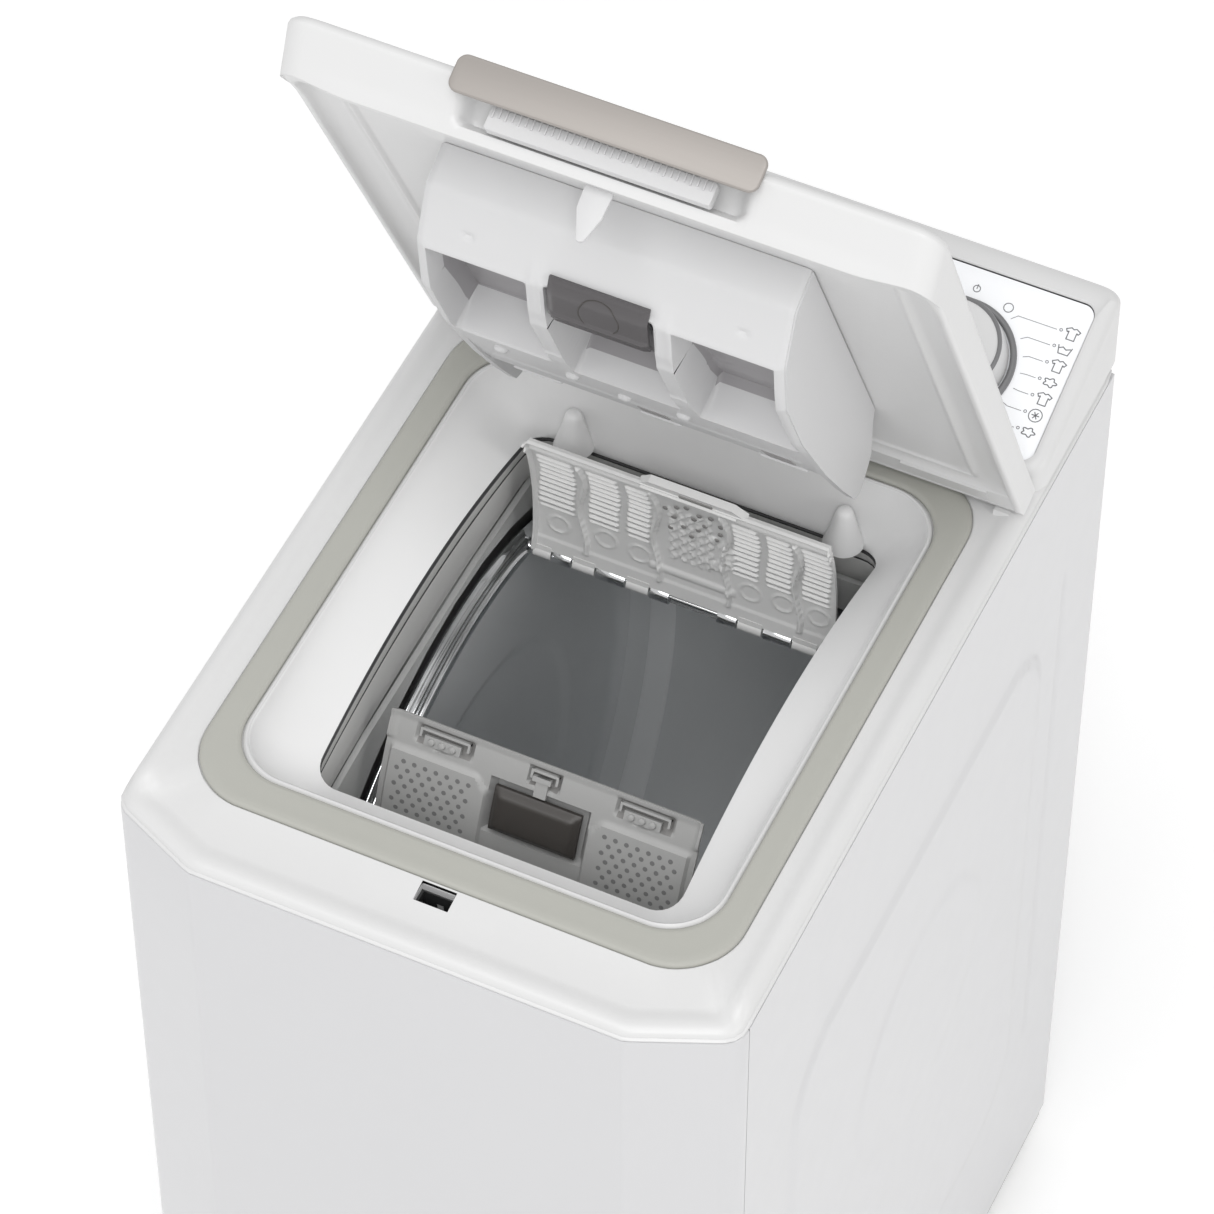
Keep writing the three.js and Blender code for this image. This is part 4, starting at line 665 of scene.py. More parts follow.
def make_hinge_rods():
    for name, hinge in (("rear", HINGE_REAR), ("front", HINGE_FRONT)):
        rod = Shape()
        _, y, z = on_drum((0, hinge, DRUM_R))
        rod.rod(y, z, 1.9, -107.5, 107.5, 20)
        sleeves = ((-89, -76), (-59, -39), (-22, -9), (24, 37), (55, 74), (92, 103))
        for x0, x1 in sleeves if name == "rear" else ():
            rod.rod(y, z, 5.2, x0, x1, 24)
        rod.disc((0, 0), (0.5, 3.2, 4.2, 3.2, 0.5), (-3.6, -2.6, 0, 2.6, 3.6), 20,
                 lambda p: (-106 + p[2], y + p[0], z + p[1]))
        rod.piece("hinge_rod_and_sleeves_" + name, [CHROME], "drum", ["hinge_rod_" + name],
                  bevel=0.4, sharp=50)


# ------------------------------------------------------------------ drum flaps
def panel(shape, xs, ss, height, thick, place, paint=None, kind=0):
    """Moulded sheet: height(x, s) over a grid, with an even thickness behind it."""
    loops = []
    for s in ss:
        face = [(x, s, height(x, s)) for x in xs]
        loops.append(face + [(x, q, h - thick) for x, q, h in reversed(face)])
    first = len(shape.faces)
    shape.loft(loops, place, kind, ends=True)
    if paint:
        n = len(loops[0])
        for j in range(len(ss) - 1):
            for i in range(len(xs) - 1):
                x, s = (xs[i] + xs[i + 1]) / 2, (ss[j] + ss[j + 1]) / 2
                shape.kinds[first + j * n + i] = paint(x, s)


def grid(a, b, step):
    count = max(2, round(abs(b - a) / step))
    return [a + (b - a) * k / count for k in range(count + 1)]


def patch(x, s, x0, x1, s0, s1, soft=1.5):
    """1 inside a rectangle with soft borders, 0 outside."""
    return (smooth(x0 - soft / 2, x0 + soft / 2, x) * (1 - smooth(x1 - soft / 2, x1 + soft / 2, x))
            * smooth(s0 - soft / 2, s0 + soft / 2, s) * (1 - smooth(s1 - soft / 2, s1 + soft / 2, s)))


def make_front_flap():
    """Outer face with pad, finger slots and the key in its well; s runs from free edge to hinge."""
    a1 = HINGE_FRONT + 26.5
    per_mm = 180 / (math.pi * DRUM_R)
    turn = open_flap(HINGE_FRONT, FRONT_FLAP_OPEN)

    def place(p):
        x, s, h = p
        return turn((x, a1 - s * per_mm, DRUM_R + h))

    def pad(x, s):
        side = abs(x)
        corner = 34 + max(0.0, 9 - (s - 22)) * 0.9
        return (smooth(corner - 1.2, corner + 1.2, side) * (1 - smooth(97.5, 99.5, side))
                * smooth(21.5, 23.5, s) * (1 - smooth(94, 97, s)))

    slots = ((-66, 18), (0, 10.5), (66, 18))

    def height(x, s):
        h = 2.6 * pad(x, s) - 0.4
        h += 2.4 * smooth(98.6, 100, abs(x)) * (1 - smooth(17, 19, s))
        h += 1.0 * (1 - smooth(1.2, 2.6, s))
        for xc, w in slots:
            h -= 3.4 * patch(x, s, xc - w, xc + w, 4.2, 16.5 - abs(x - xc) * 0.12, 1.2)
        h -= 7.5 * patch(x, s, -31.4, 31.4, 20.6, 56.4, 0.8)
        return h

    def paint(x, s):
        if pad(x, s) > 0.55:
            return 1
        # slot wells take the dark recess grey: painted shade where the slots open
        for xc, w in slots:
            if abs(x - xc) < w - 0.5 and 4.8 < s < 15.5:
                return 2
        return 0

    flap = Shape()
    panel(flap, grid(-102.5, 102.5, 1.7), grid(0, 104, 1.6), height, 2.4, place, paint)
    for side in (-1, 1):
        row = 0
        s = 30.0
        while s < 92:
            x = 45.0 + (3.6 if row % 2 else 0)
            while x < 95:
                # dimples drawn as raised dark dots: painted shade
                flap.disc((side * x, s), (1.75, 1.5, 0.5), (2.05, 2.32, 2.32), 10, place, kind=3)
                x += 7.2
            s += 5.4
            row += 1
    for xc, w in slots:
        flap.block(xc - w + 1.5, xc + w - 1.5, 5.0, 6.6, -2.2, 0.9, place)
        flap.block(xc - w + 1.5, xc - w + 3, 5.0, 11, -2.2, 0.9, place)
        flap.block(xc + w - 3, xc + w - 1.5, 5.0, 11, -2.2, 0.9, place)
        # black strip in each slot: painted shadow of the slot's opening
        flap.block(xc - w + 3, xc + w - 3, 7.1, 8.0, -3.2, -2.0, place, kind=4)
        if w > 12:
            flap.block(xc - 13, xc + 11, 9.4, 15.6, -2.4, 0.5, place)
            for k in (-8, -1, 6):
                flap.disc((xc + k, 12.4), (2.3, 2.3, 1.9, 0.8), (0.3, 1.4, 2.2, 2.5), 14, place)
        else:
            flap.block(xc - 4.5, xc + 3.5, 8.8, 22, -2.0, 1.3, place)
            flap.block(xc - 7, xc + 5, 8.8, 12, -2.0, 2.1, place)
    _, hy, hz = on_drum((0, HINGE_FRONT, DRUM_R))
    for x0, x1 in ((-92, -70), (-46, -24), (24, 46), (70, 92)):
        flap.rod(hy, hz, 4.4, x0, x1)
    flap.piece("flap_front_moulding", [FLAP_GREY, PAD_GREY, WELL_PAINTED_SHADE, DIMPLE_PAINTED_SHADE, BLACK],
               "front_flap", ["flap_front"], sharp=38)
    key = Shape()

    def crown(x, s):
        edge = min(28.4 - abs(x), s - 23.4, 53.6 - s)
        return 1.5 + 4.6 * smooth(-0.2, 5.0, edge) - 0.5 * smooth(38, 52, s)
    panel(key, grid(-28.4, 28.4, 1.9), grid(23.4, 53.6, 1.7), crown, 3, place)
    key.piece("flap_key", [KEY_DARK], "flap_key", ["flap_button"], sharp=45)


def make_rear_flap():
    """Inner face with louvres, ribs and the sprung catch; s runs from the hinge to the free edge."""
    per_mm = 180 / (math.pi * DRUM_R)
    turn = open_flap(HINGE_REAR, REAR_FLAP_OPEN)

    def place(p):
        x, s, h = p
        return turn((x, HINGE_REAR - s * per_mm, DRUM_R - 2.2 - h))

    def wavy(s):
        return 2.6 * math.sin(s / 11.0)
    louvres = ((-98, -74), (-64, -44), (-38, -23), (33, 50), (56, 72), (80, 98))
    ribs = (-69, -19, 28, 76)

    def height(x, s):
        h = 0.0
        w = wavy(s)
        for x0, x1 in louvres:
            inside = patch(x, s, x0 + w * 0.5, x1 + w * 0.5, 44, 102, 1.2)
            saw = (s / 5.6) % 1.0
            h += inside * 2.2 * (saw - 0.2)
        for xr in ribs:
            gap = abs(x - xr - w)
            h += 3.0 * (1 - smooth(0.9, 1.9, gap)) * smooth(10, 16, s) * (1 - smooth(106, 110, s))
        h += 3.4 * smooth(100.2, 101.2, abs(x))
        h += 2.0 * smooth(108, 109.5, s) * (1 - smooth(111, 112.5, s))
        h += 2.6 * smooth(117.5, 118.5, s)
        for xc in (-72, 66):
            h -= 1.8 * patch(x, s, xc - 19, xc + 19, 104.4, 107.6, 1.0)
        for k in range(5):
            wave = -8 + 6.2 * k + 1.3 * math.sin(s / 1.5 + k)
            h += 1.3 * (1 - smooth(0.6, 1.5, abs(x - wave))) * smooth(36, 39, s) * (1 - smooth(92, 95, s))
        r = math.hypot(x - 17, s - 58)
        tooth = 0.5 + 0.5 * math.cos(14 * math.atan2(s - 58, x - 17))
        h += 1.8 * smooth(9, 10, r) * (1 - smooth(17, 18.5, r)) * tooth * smooth(12, 17, x)
        for xc, sc in ((-54, 32), (-31, 30), (44, 31), (66, 32), (-86, 30), (90, 31)):
            ring = abs(math.hypot(x - xc, s - sc) - 7)
            h += 0.7 * (1 - smooth(0.4, 1.3, ring))
        h += 1.2 * patch(x, s, -24, 34, 22, 27, 2) + 0.8 * (1 - smooth(14, 16, s))
        h -= 1.6 * patch(x, s, -4, 20, 106, 116, 1.2)
        return h

    flap = Shape()
    panel(flap, grid(-102.5, 102.5, 1.15), grid(4, 119.6, 1.15), height, 2.3, place)
    # these dots, and the strip at the catch below, take the dark recess grey as painted shade
    for x, s in ((-3, 98), (4, 102), (12, 97), (20, 99), (26, 92), (-11, 92), (-6, 84), (25, 82),
                 (8, 90), (15, 86), (0, 76), (10, 78), (22, 74), (-9, 70), (5, 68)):
        flap.disc((x, s), (1.9, 1.5), (0.9, 1.45), 12, place, kind=1)
    catch = [(-26, 118), (-18, 126.4), (38, 126.4), (46, 118)]
    flap.prism(catch, -3.4, 1.8, "z", place)
    flap.block(2, 24, 119.4, 122.6, 1.0, 2.6, place, kind=1)
    flap.block(-24, 40, 116.6, 118.2, -1, 4.2, place)
    _, hy, hz = on_drum((0, HINGE_REAR, DRUM_R))
    for x0, x1 in ((-102, -90), (-75, -60), (-38, -23), (38, 54), (75, 91)):
        flap.rod(hy, hz, 4.6, x0, x1, 20)
        flap.block(x0, x1, 0.4, 7, -1.9, 1.2, place)
    flap.piece("flap_rear_moulding", [FLAP_PALE, WELL_PAINTED_SHADE], "rear_flap", ["flap_rear"], sharp=36)
    lens = Shape()
    lens.block(-9, 23, -4.5, 3.5, -3.2, -1.6, place)
    lens.piece("hinge_lens", [CLEAR], "rear_flap", bevel=0.4)


# ------------------------------------------------------------------ lid
def lid_loop(hx, u0, u1, r, height, across=120, along=30):
    """Rounded rectangle in lid coordinates, always with the same number of points."""
    def side(a, b, count):
        return [(a[0] + (b[0] - a[0]) * k / count, a[1] + (b[1] - a[1]) * k / count)
                for k in range(count)]

    def corner(cx, cu, start):
        return [(cx + r * math.cos(math.radians(start + 9 * k)),
                 cu + r * math.sin(math.radians(start + 9 * k))) for k in range(11)]
    points = side((-hx, u0), (hx, u0), 20) + side((hx, u0), (hx, u1 - r), along)
    points += corner(hx - r, u1 - r, 0)
    points += side((hx - r, u1), (-hx + r, u1), across)
    points += corner(-hx + r, u1 - r, 90) + side((-hx, u1 - r), (-hx, u0), along)
    return [height(x, u) for x, u in points]


def make_lid():
    """Outer skin, sloping front band, rim and liner as one closed shell, with its hinge lugs."""
    lid = Shape()

    def crown(u):
        return 21.5 + 0.0125 * u
    rows = [(150, 60, 380, 20, 0), (188, 20, 428, 16, 0), (193.5, 8, 434, 16, -0.4),
            (196.4, 2, 438, 16, -1.8), (197.7, -1, 440.4, 16, -4.2), (198, -2, 441, 16, -6.2)]
    loops = [lid_loop(hx, u0, u1, r, lambda x, u, d=d: (x, u, crown(u) + d))
             for hx, u0, u1, r, d in rows]

    def front_band(t, hx, r, v_side, dip):
        """One loop down the sloping front band, t from 0 at its top to 1 at the rim."""
        u1 = 441 - 21 * t
        v_front = 20.6 - 25 * t

        def point(x, u):
            near = smooth(u1 - 46, u1 - 4, u)
            mid = 1 - smooth(150, 192, abs(x))
            v = v_side + (v_front - v_side) * near
            v += dip * mid * near
            hollow = (1 - smooth(79, 90, abs(x))) * (1 - smooth(0.62, 0.86, t)) * smooth(-0.1, 0.12, t)
            if u > u1 - 1:
                u -= 15 * hollow
            return (x, u, v)
        return lid_loop(hx, -3, u1, r, point)
    for k in range(13):
        t = k / 12
        side_v = 18.5 - 17 * t
        loops.append(front_band(t, 198 - 0.4 * t, 16, side_v, -3.0 * smooth(0.7, 1, t)))

    def rim(u1, hx, v, dip):
        def point(x, u):
            near = smooth(u1 - 46, u1 - 4, u)
            mid = 1 - smooth(150, 192, abs(x))
            return (x, u, v + near * (-3.0 + dip * mid))
        return lid_loop(hx, 4, u1, 15, point)
    loops += [rim(418, 196.6, 0.3, -3.0), rim(415.5, 195.2, 0.0, -3.2), rim(411, 193.4, 0.0, -3.2),
              rim(408.4, 192.2, 0.6, -2.8)]
    inner = [(191, 406, 2.2, 0.5), (188, 402, 4.2, 0.9), (183, 397, 5.6, 1), (176, 391, 6.4, 1),
             (171, 386.5, 6.7, 1), (169.4, 385, 5.2, 1), (167.4, 383, 4.9, 1), (165.6, 381, 6.3, 1),
             (163, 378, 6.8, 1)]
    for hx, u1, v, flat in inner:
        def point(x, u, u1=u1, v=v, flat=flat):
            near = smooth(u1 - 46, u1 - 4, u)
            return (x, u, v - 5.0 * near * (1 - flat))
        loops.append(lid_loop(hx, 22 + (191 - hx) * 0.5, u1, max(6, 15 - (191 - hx) * 0.3), point))
    lid.loft(loops, on_lid)
    lid.faces.append(tuple(range(len(loops[0])))[::-1])
    last = (len(loops) - 1) * len(loops[0])
    lid.faces.append(tuple(last + i for i in range(len(loops[0]))))
    lid.kinds += [0, 0]
    for x0, x1 in ((-176, -120), (120, 176)):
        lid.block(x0, x1, 8, 22, 0.5, 8, on_lid)
    lid.tube([(x, 5, 10.7) for x in (-176, 0, 176)], 9.6, 28, on_lid)
    lid.piece("lid_shell", [PLASTIC], "lid", ["lid_outer", "lid_liner"], sharp=48)


def make_handle():
    """Anodised plate over a comb that the fingers close on."""
    plate = Shape()
    face = rounded(-93, 93, 10.4, 33, 6.2, 8)
    plate.loft([[(x, u, v) for x, v in face] for u in (441.4, 444.8)], on_lid, ends=True)
    plate.block(-84, 84, 433, 442, 28.0, 33, on_lid)
    plate.piece("handle_plate", [CHAMPAGNE], "lid", ["lid_handle"], bevel=1.1, segments=3)

    comb = Shape()
    comb.loft([[(x, u, v) for x, v in rounded(-68, 68, -0.5, 13, 1.6, 4)] for u in (424.5, 432)],
              on_lid, ends=True)
    for k in range(34):
        x = -65.5 + k * 3.97
        comb.block(x - 0.55, x + 0.55, 431.6, 433.4, 6.6 + 0.8 * (k % 2), 13, on_lid)
    comb.piece("handle_grip_comb", [SATIN], "lid", ["handle_comb"], bevel=0.25, segments=1)


def make_striker():
    fin = Shape()
    outline = fillet([(-8, 1), (10, 1), (9, -22, 3), (4, -38, 3), (0, -38, 2), (-7, -20, 4)], 5)
    fin.loft([[(x, u, v) for x, v in outline] for u in (409.3, 412.1)], on_lid, ends=True)
    fin.piece("striker", [SATIN], "lid", ["lid_striker"], bevel=0.7)


def soften(section, radius):
    """Rounds every corner of an open outline except its two ends."""
    corners = [(u, v, 0 if i in (0, len(section) - 1) else radius)
               for i, (u, v) in enumerate(section)]
    return fillet(corners, 6)


def make_dispenser():
    """Detergent pockets under the lid; s runs along the section from its front edge."""
    section = soften([(352, 6.5), (350, -20), (324, -46), (286, -59), (225, -60), (150, -51),
                      (118, -46), (104, 6.5)], 9)
    normals = []
    for i in range(len(section)):
        a, b = section[max(0, i - 1)], section[min(len(section) - 1, i + 1)]
        d = math.dist(a, b)
        normals.append(((b[1] - a[1]) / d, -(b[0] - a[0]) / d))
    lengths = [0.0]
    for a, b in zip(section, section[1:]):
        lengths.append(lengths[-1] + math.dist(a, b))
    total = lengths[-1]

    def place(p):
        x, s, h = p
        s = max(0.0, min(total - 1e-6, s))
        i = max(k for k in range(len(lengths)) if lengths[k] <= s)
        i = min(i, len(section) - 2)
        t = (s - lengths[i]) / (lengths[i + 1] - lengths[i])
        u, v = (a * (1 - t) + b * t for a, b in zip(section[i], section[i + 1]))
        nu, nv = (a * (1 - t) + b * t for a, b in zip(normals[i], normals[i + 1]))
        return on_lid((x, u - nu * h, v - nv * h))

    mouths = ((-106, -46, 66, 174), (-33, 33, 64, 184), (46, 106, 66, 188))

    def mouth(x, s, grow=0.0):
        return max(patch(x, s, x0 - grow, x1 + grow, s0 - grow, s1 + grow, 2.4)
                   for x0, x1, s0, s1 in mouths)

    def height(x, s):
        hole = mouth(x, s)
        low = 1 - smooth(88, 100, s)
        h = (0.2 + 0.7 * low) * (mouth(x, s, 3.6) - hole) - (24 + 5 * smooth(90, 150, s)) * hole
        for xr in (-39.5, 39.5):
            h += 1.3 * (1 - smooth(2.5, 6.5, abs(x - xr))) * smooth(44, 62, s) * low
        for xc in (-84, 86):
            h -= 1.6 * patch(x, s, xc - 3.6, xc + 3.6, 47, 50.4, 1.2)
        h += 0.8 * patch(x, s, -60, 60, 150, 152.5, 1.5) + 0.8 * patch(x, s, -100, 100, 232, 235, 1.5)
        h -= 1.2 * smooth(110.5, 113, abs(x))
        return h

    def paint(x, s):
        return 1 if mouth(x, s) > 0.86 else 0
    body = Shape()
    panel(body, grid(-113, 113, 1.8), grid(0, total - 0.5, 1.8), height, 2.4, place, paint)
    for x0, x1, s0, s1 in ((72, 90, 238, 262), (-8, 10, 240, 258)):
        body.loft([[(x, s, h) for x, s in rounded(x0, x1, s0, s1, 2.4, 4)] for h in (-0.6, 0.5)],
                  place, kind=2, ends=True)
    for x, s in ((-40, 204), (-10, 218), (30, 208), (-84, 196)):
        body.disc((x, s), (4.6, 4.2, 3.2, 1.6), (-0.8, 1.2, 2.4, 2.9), 18, place)
    for x0, x1, s0, s1 in ((64, 96, 268, 275), (-96, -64, 268, 275), (-14, 14, 269, 275)):
        body.loft([[(x, s, h) for x, s in rounded(x0, x1, s0, s1, 2.4, 4)] for h in (-1, 1.4)],
                  place, ends=True)
    cheek = fillet([(350, 6), (348, -19, 10), (323, -44.5, 12), (286, -57.5, 14), (225, -58.5, 30),
                    (150, -52.5, 30), (100, -46, 20), (64, -40, 5), (58, -33, 4), (70, -12, 16),
                    (96, 0, 10), (104, 6)], 6)
    for side in (-1, 1):
        body.loft([[(side * x, u, v) for u, v in cheek] for x in (109, 114)], on_lid, ends=True)
    body.piece("dispenser_moulding", [SATIN, POCKET_GREY, LABEL_GREY], "lid", ["dispenser_body"],
               sharp=42)
    cap = Shape()

    def cap_height(x, s):
        edge = min(31 - abs(x), s - 54)
        return (2.4 + 1.2 * smooth(0, 4, edge)
                - 2.2 * smooth(83, 89, s) + 1.0 * patch(x, s, -30, 30, 80, 83, 2.0))
    panel(cap, grid(-31, 31, 0.8), grid(54, 90, 0.8), cap_height, 2.2, place)
    cap.tube([(1 + 12.5 * math.cos(math.pi * k / 24), 71 + 12.5 * math.sin(math.pi * k / 24), 3.6)
              for k in range(49)], 0.4, 6, place, kind=1, ends=False)
    cap.block(-30, 30, 262, 326, -45, -43, on_lid)
    cap.piece("softener_cover", [CAP_GREY, KEY_DARK], "lid", ["softener_cap"], sharp=40)


# ------------------------------------------------------------------ console
def make_console_housing():
    body = Shape()
    rise = math.tan(CONSOLE_TILT)

    def top(y):
        past = y - CONSOLE_TOP_Y
        if past <= 0:
            return CONSOLE_FRONT_Z + (y - CONSOLE_FRONT_Y) * rise
        return CONSOLE_TOP_Z - 0.18 * past - 0.012 * past ** 2

    def loop(hx, y0, y1, r, z):
        return [(x, y, z(y)) for x, y in rounded(-hx, hx, y0, y1, r, 10)]
    rows = [(199.5, 163, 297.5, 15, 6.5), (199.2, 163.3, 297.2, 15, 4.0),
            (198.2, 164.2, 296.2, 15, 1.8), (196.4, 165.6, 294.4, 14, 0.5),
            (194, 167, 291, 13, 0), (190.4, 170.2, 275, 9, 0), (189.8, 170.8, 274.4, 8.4, 0.3),
            (189.5, 171.1, 274.1, 8.2, 1.4)]
    loops = [loop(*rows[0][:4], lambda y, z=z: z) for z in (835.4, 838.0)]
    loops += [loop(*row[:4], lambda y, drop=row[4]: top(y) - drop) for row in rows]
    body.loft(loops)
    body.faces.append(tuple(range(len(loops[0])))[::-1])
    body.kinds.append(0)
    body.piece("console_housing", [PLASTIC], "cabinet", ["console_body"], sharp=50)


def make_console_face():
    face = Shape()
    face.loft([[(x, s, h) for x, s in rounded(-189.3 + d, 189.3 - d, 8.4 + d, 116.6 - d, 8, 10)]
               for d, h in ((0, -1.6), (0, -1.25), (0.5, -1.05))], on_console, ends=True)
    face.piece("console_face", [PANEL_WHITE], "cabinet", ["console_fascia"], sharp=60)


def make_dial():
    knob = Shape()
    spot = (DIAL_X, DIAL_S)
    knob.disc(spot, (34.6, 35, 34.6, 33.6, 32.9, 32.6), (-0.6, 1.2, 7, 15, 19, 20.2), 96, on_console)
    knob.disc(spot, (32.6, 32.8, 32.4, 31.0, 30.2, 30.0), (20.2, 20.8, 21.8, 22.2, 21.8, 21.0), 96,
              on_console, kind=1, ends=False)
    knob.disc(spot, (30.4, 28.5, 20, 10, 0.3), (21.2, 20.9, 20.6, 20.4, 20.3), 96, on_console)
    knob.block(116.9, 119.1, 77, 84.5, 20.6, 21.6, on_console, kind=1)
    knob.piece("programme_dial", [PLASTIC, RING_GREY], "knob", ["program_knob"], sharp=40)
    ring = Shape()
    ring.disc(spot, (40, 40, 39.4, 38, 36.6, 36.0, 36.0), (-1.1, 1.4, 2.3, 2.7, 2.3, 1.2, -1.1), 96,
              on_console, ends=False)
    ring.piece("dial_bezel", [RING_GREY], "cabinet", ["knob_bezel"], sharp=50)


def make_buttons():
    for x, name, body_name in ((-150, "start_button", "start_key"),
                               (-110, "option_button_a", "option_key_a"),
                               (-70, "option_button_b", "option_key_b")):
        cap = Shape()
        cap.loft([[(a, s, h) for a, s in rounded(x - 11.4 + d, x + 11.4 - d, 35.6 + d, 46.4 - d, 3.6, 8)]
                  for d, h in ((0, -6), (0, 1.0), (0.5, 1.9), (1.5, 2.4), (3, 2.1))], on_console,
                 ends=True)
        cap.piece(name + "_cap", [SATIN], body_name, [name], sharp=50)


def make_print():
    """Dial marks, programme symbols and button marks printed on the console face."""
    ink = Shape()

    def stroke(points, closed=False, width=0.34):
        if closed:
            points = points + [points[0]]
        for (ax, ay), (bx, by) in zip(points, points[1:]):
            d = math.dist((ax, ay), (bx, by)) or 1
            nx, ny = -(by - ay) / d * width, (bx - ax) / d * width
            ex, ey = (bx - ax) / d * width * 0.5, (by - ay) / d * width * 0.5
            ink.prism([(ax - nx - ex, ay - ny - ey), (bx - nx + ex, by - ny + ey),
                       (bx + nx + ex, by + ny + ey), (ax + nx - ex, ay + ny - ey)],
                      -1.2, -0.96, "z", on_console)

    def circle(cx, cy, r, width=0.3, steps=16):
        stroke([(cx + r * math.cos(2 * math.pi * k / steps), cy + r * math.sin(2 * math.pi * k / steps))
                for k in range(steps)], True, width)

    def shirt(cx, cy, w=4.6):
        pts = [(-0.35, 1), (-1, 0.62), (-0.78, 0.2), (-0.55, 0.35), (-0.55, -0.95), (0.55, -0.95),
               (0.55, 0.35), (0.78, 0.2), (1, 0.62), (0.35, 1), (0, 0.8)]
        stroke([(cx + w * a, cy + w * b * 0.9) for a, b in pts], True)

    def basin(cx, cy, w=4.4):
        stroke([(cx - w, cy + w * 0.5), (cx - w * 0.7, cy - w * 0.7), (cx + w * 0.7, cy - w * 0.7),
                (cx + w, cy + w * 0.5)])
        stroke([(cx - w * 0.8, cy + w * 0.1), (cx - w * 0.3, cy + w * 0.35), (cx + w * 0.2, cy + w * 0.05),
                (cx + w * 0.8, cy + w * 0.3)])

    def cloud(cx, cy, w=4.4, lobes=5):
        stroke([(cx + w * (0.82 + 0.2 * math.cos(lobes * a)) * math.cos(a),
                 cy + w * 0.72 * (0.82 + 0.2 * math.cos(lobes * a)) * math.sin(a))
                for a in [2 * math.pi * k / 30 for k in range(30)]], True)

    def flake(cx, cy, w=4.2):
        circle(cx, cy, w)
        for k in range(3):
            a = math.pi * k / 3
            stroke([(cx - w * 0.55 * math.cos(a), cy - w * 0.55 * math.sin(a)),
                    (cx + w * 0.55 * math.cos(a), cy + w * 0.55 * math.sin(a))])

    cx, cy = DIAL_X, DIAL_S
    marks = [(95.5, shirt), (84.5, basin), (73, shirt), (61.5, cloud), (50, shirt), (38.5, flake),
             (27, cloud)]
    for s, draw in marks:
        a = math.asin(max(-0.95, min(0.95, (s - cy) / 47.5)))
        sx, sy = cx + 43.5 * math.cos(a), cy + 43.5 * math.sin(a)
        stroke([(sx, sy), (sx + 3.5, s), (cx + 53, s)], False, 0.2)
        draw(180.5 if draw is not shirt else 181, s)
        circle(cx + 55.6, s + 0.6, 0.9, 0.22, 8)
    for k in range(7):
        a = math.radians(118 + 20 * k)
        stroke([(cx + 42.5 * math.cos(a), cy + 42.5 * math.sin(a)),
                (cx + 46 * math.cos(a), cy + 46 * math.sin(a))], False, 0.25)
    circle(cx - 3, cy + 47.5, 2.2, 0.28)
    stroke([(cx - 3, cy + 47.5), (cx - 3, cy + 50.4)], False, 0.28)
    circle(cx + 20, cy + 42.5, 3.0, 0.28)
    for x in (-150, -110, -70):
        circle(x, 56, 2.6, 0.28)
        stroke([(x - 7, 29), (x + 7, 29)], False, 0.2)
    stroke([(-150.9, 54.9), (-150.9, 57.1), (-149, 56)], True, 0.25)
    for k in range(4):
        circle(-30 + 14 * k, 72, 1.7, 0.3, 12)
        stroke([(-34 + 14 * k, 66), (-26 + 14 * k, 66)], False, 0.2)
    ink.piece("console_print", [INK], "cabinet", sharp=30)


# ------------------------------------------------------------------ cabinet sides
def signed_box(y, z, y0, y1, z0, z1, r):
    """Distance outside a rounded rectangle, negative inside."""
    dy = abs(y - (y0 + y1) / 2) - (y1 - y0) / 2 + r
    dz = abs(z - (z0 + z1) / 2) - (z1 - z0) / 2 + r
    return math.hypot(max(dy, 0), max(dz, 0)) + min(max(dy, dz), 0) - r


def side_height(y, z):
    field = signed_box(y, z, -190, 195, 172, 684, 62)
    h = 2.0 * (1 - smooth(-5, 1, field))
    boss = math.hypot(y - 12, z - 490) - 97
    h += 0.9 * (1 - smooth(-3, 1, boss))
    groove = abs(y - 224)
    h -= 0.9 * (1 - smooth(0.5, 3.0, groove)) * smooth(190, 204, z) * (1 - smooth(690, 704, z))
    return h


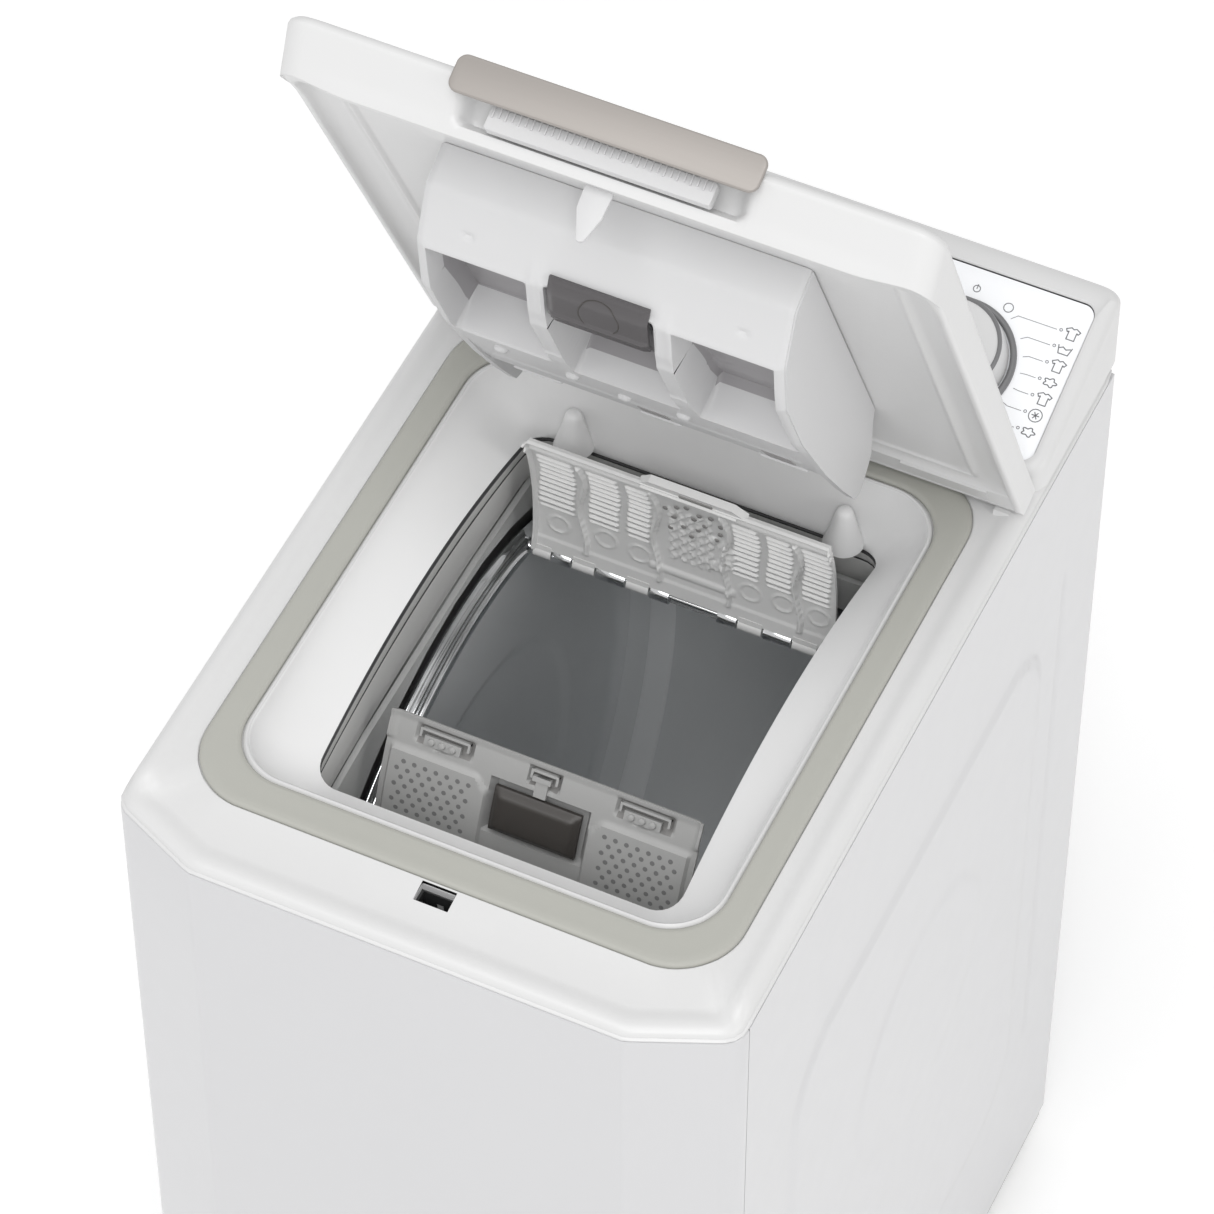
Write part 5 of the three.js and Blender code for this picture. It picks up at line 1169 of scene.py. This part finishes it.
def make_sides():
    """Side skins: a raised field with a round boss, a groove beside it, and folded rear edges."""
    for side, name in ((-1, "left"), (1, "right")):
        skin = Shape()
        ys = grid(-258.5, 285.9, 4.4)
        zs = grid(30.2, 823.8, 5.2)
        loops = []
        for z in zs:
            face = [(side * (SKIN_X + side_height(y, z)), y, z) for y in ys]
            face[0] = (side * (SKIN_X - 2.9), ys[0] + 0.1, z)
            face[-1] = (side * (SKIN_X - 2.9), ys[-1] - 0.1, z)
            face[1] = (side * SKIN_X, ys[0] + 0.5, z)
            face[-2] = (side * SKIN_X, ys[-1] - 0.5, z)
            back = [(side * 181, ys[-1] - 0.1, z), (side * 181, ys[-1] - 1.2, z)]
            inner = [(side * (SKIN_X - SHEET + side_height(y, z)), y, z) for y in reversed(ys[1:-1])]
            loops.append(face + back + inner)
        skin.loft(loops, ends=True)
        skin.piece("side_skin_" + name, [PAINT], "cabinet", ["side_panel_" + name], sharp=50)


def make_front():
    """Front sheet wrapped round the chamfered corners, with a rolled top edge."""
    front = Shape()

    def loop(inset, z):
        points = [p for p in cabinet_outline(inset) if p[1] < -255]
        points.sort(key=lambda p: math.atan2(p[0], -(p[1] + 200)))
        edge = HALF_W - inset
        return [(x, y, z) for x, y in [(-edge, -258.9), *points, (edge, -258.9)]]
    rows = [(1.2, 31.4), (0.2, 30.2), (0, 31.5)]
    rows += [(0, z) for z in range(60, 820, 76)]
    rows += [(0, 821.6), (0.25, 822.9), (0.9, 823.7), (2.2, 823.9), (11, 823.9)]
    front.loft([loop(i, z) for i, z in rows], closed=False)
    back = [(1.2, 31.4), (1.2, 822.6), (11, 822.6)]
    front.loft([loop(i, z) for i, z in back], closed=False)
    front.piece("front_skin", [PAINT], "cabinet", ["front_panel"], sharp=24)


make_camera()
make_studio()
finish_cad_nodes()
make_cover()
make_seal()
make_bellows()
make_drum_skin()
make_door_rims()
make_drum_ends()
make_lifters()
make_hinge_rods()
make_front_flap()
make_rear_flap()
make_lid()
make_handle()
make_striker()
make_dispenser()
make_console_housing()
make_console_face()
make_dial()
make_buttons()
make_print()
make_sides()
make_front()
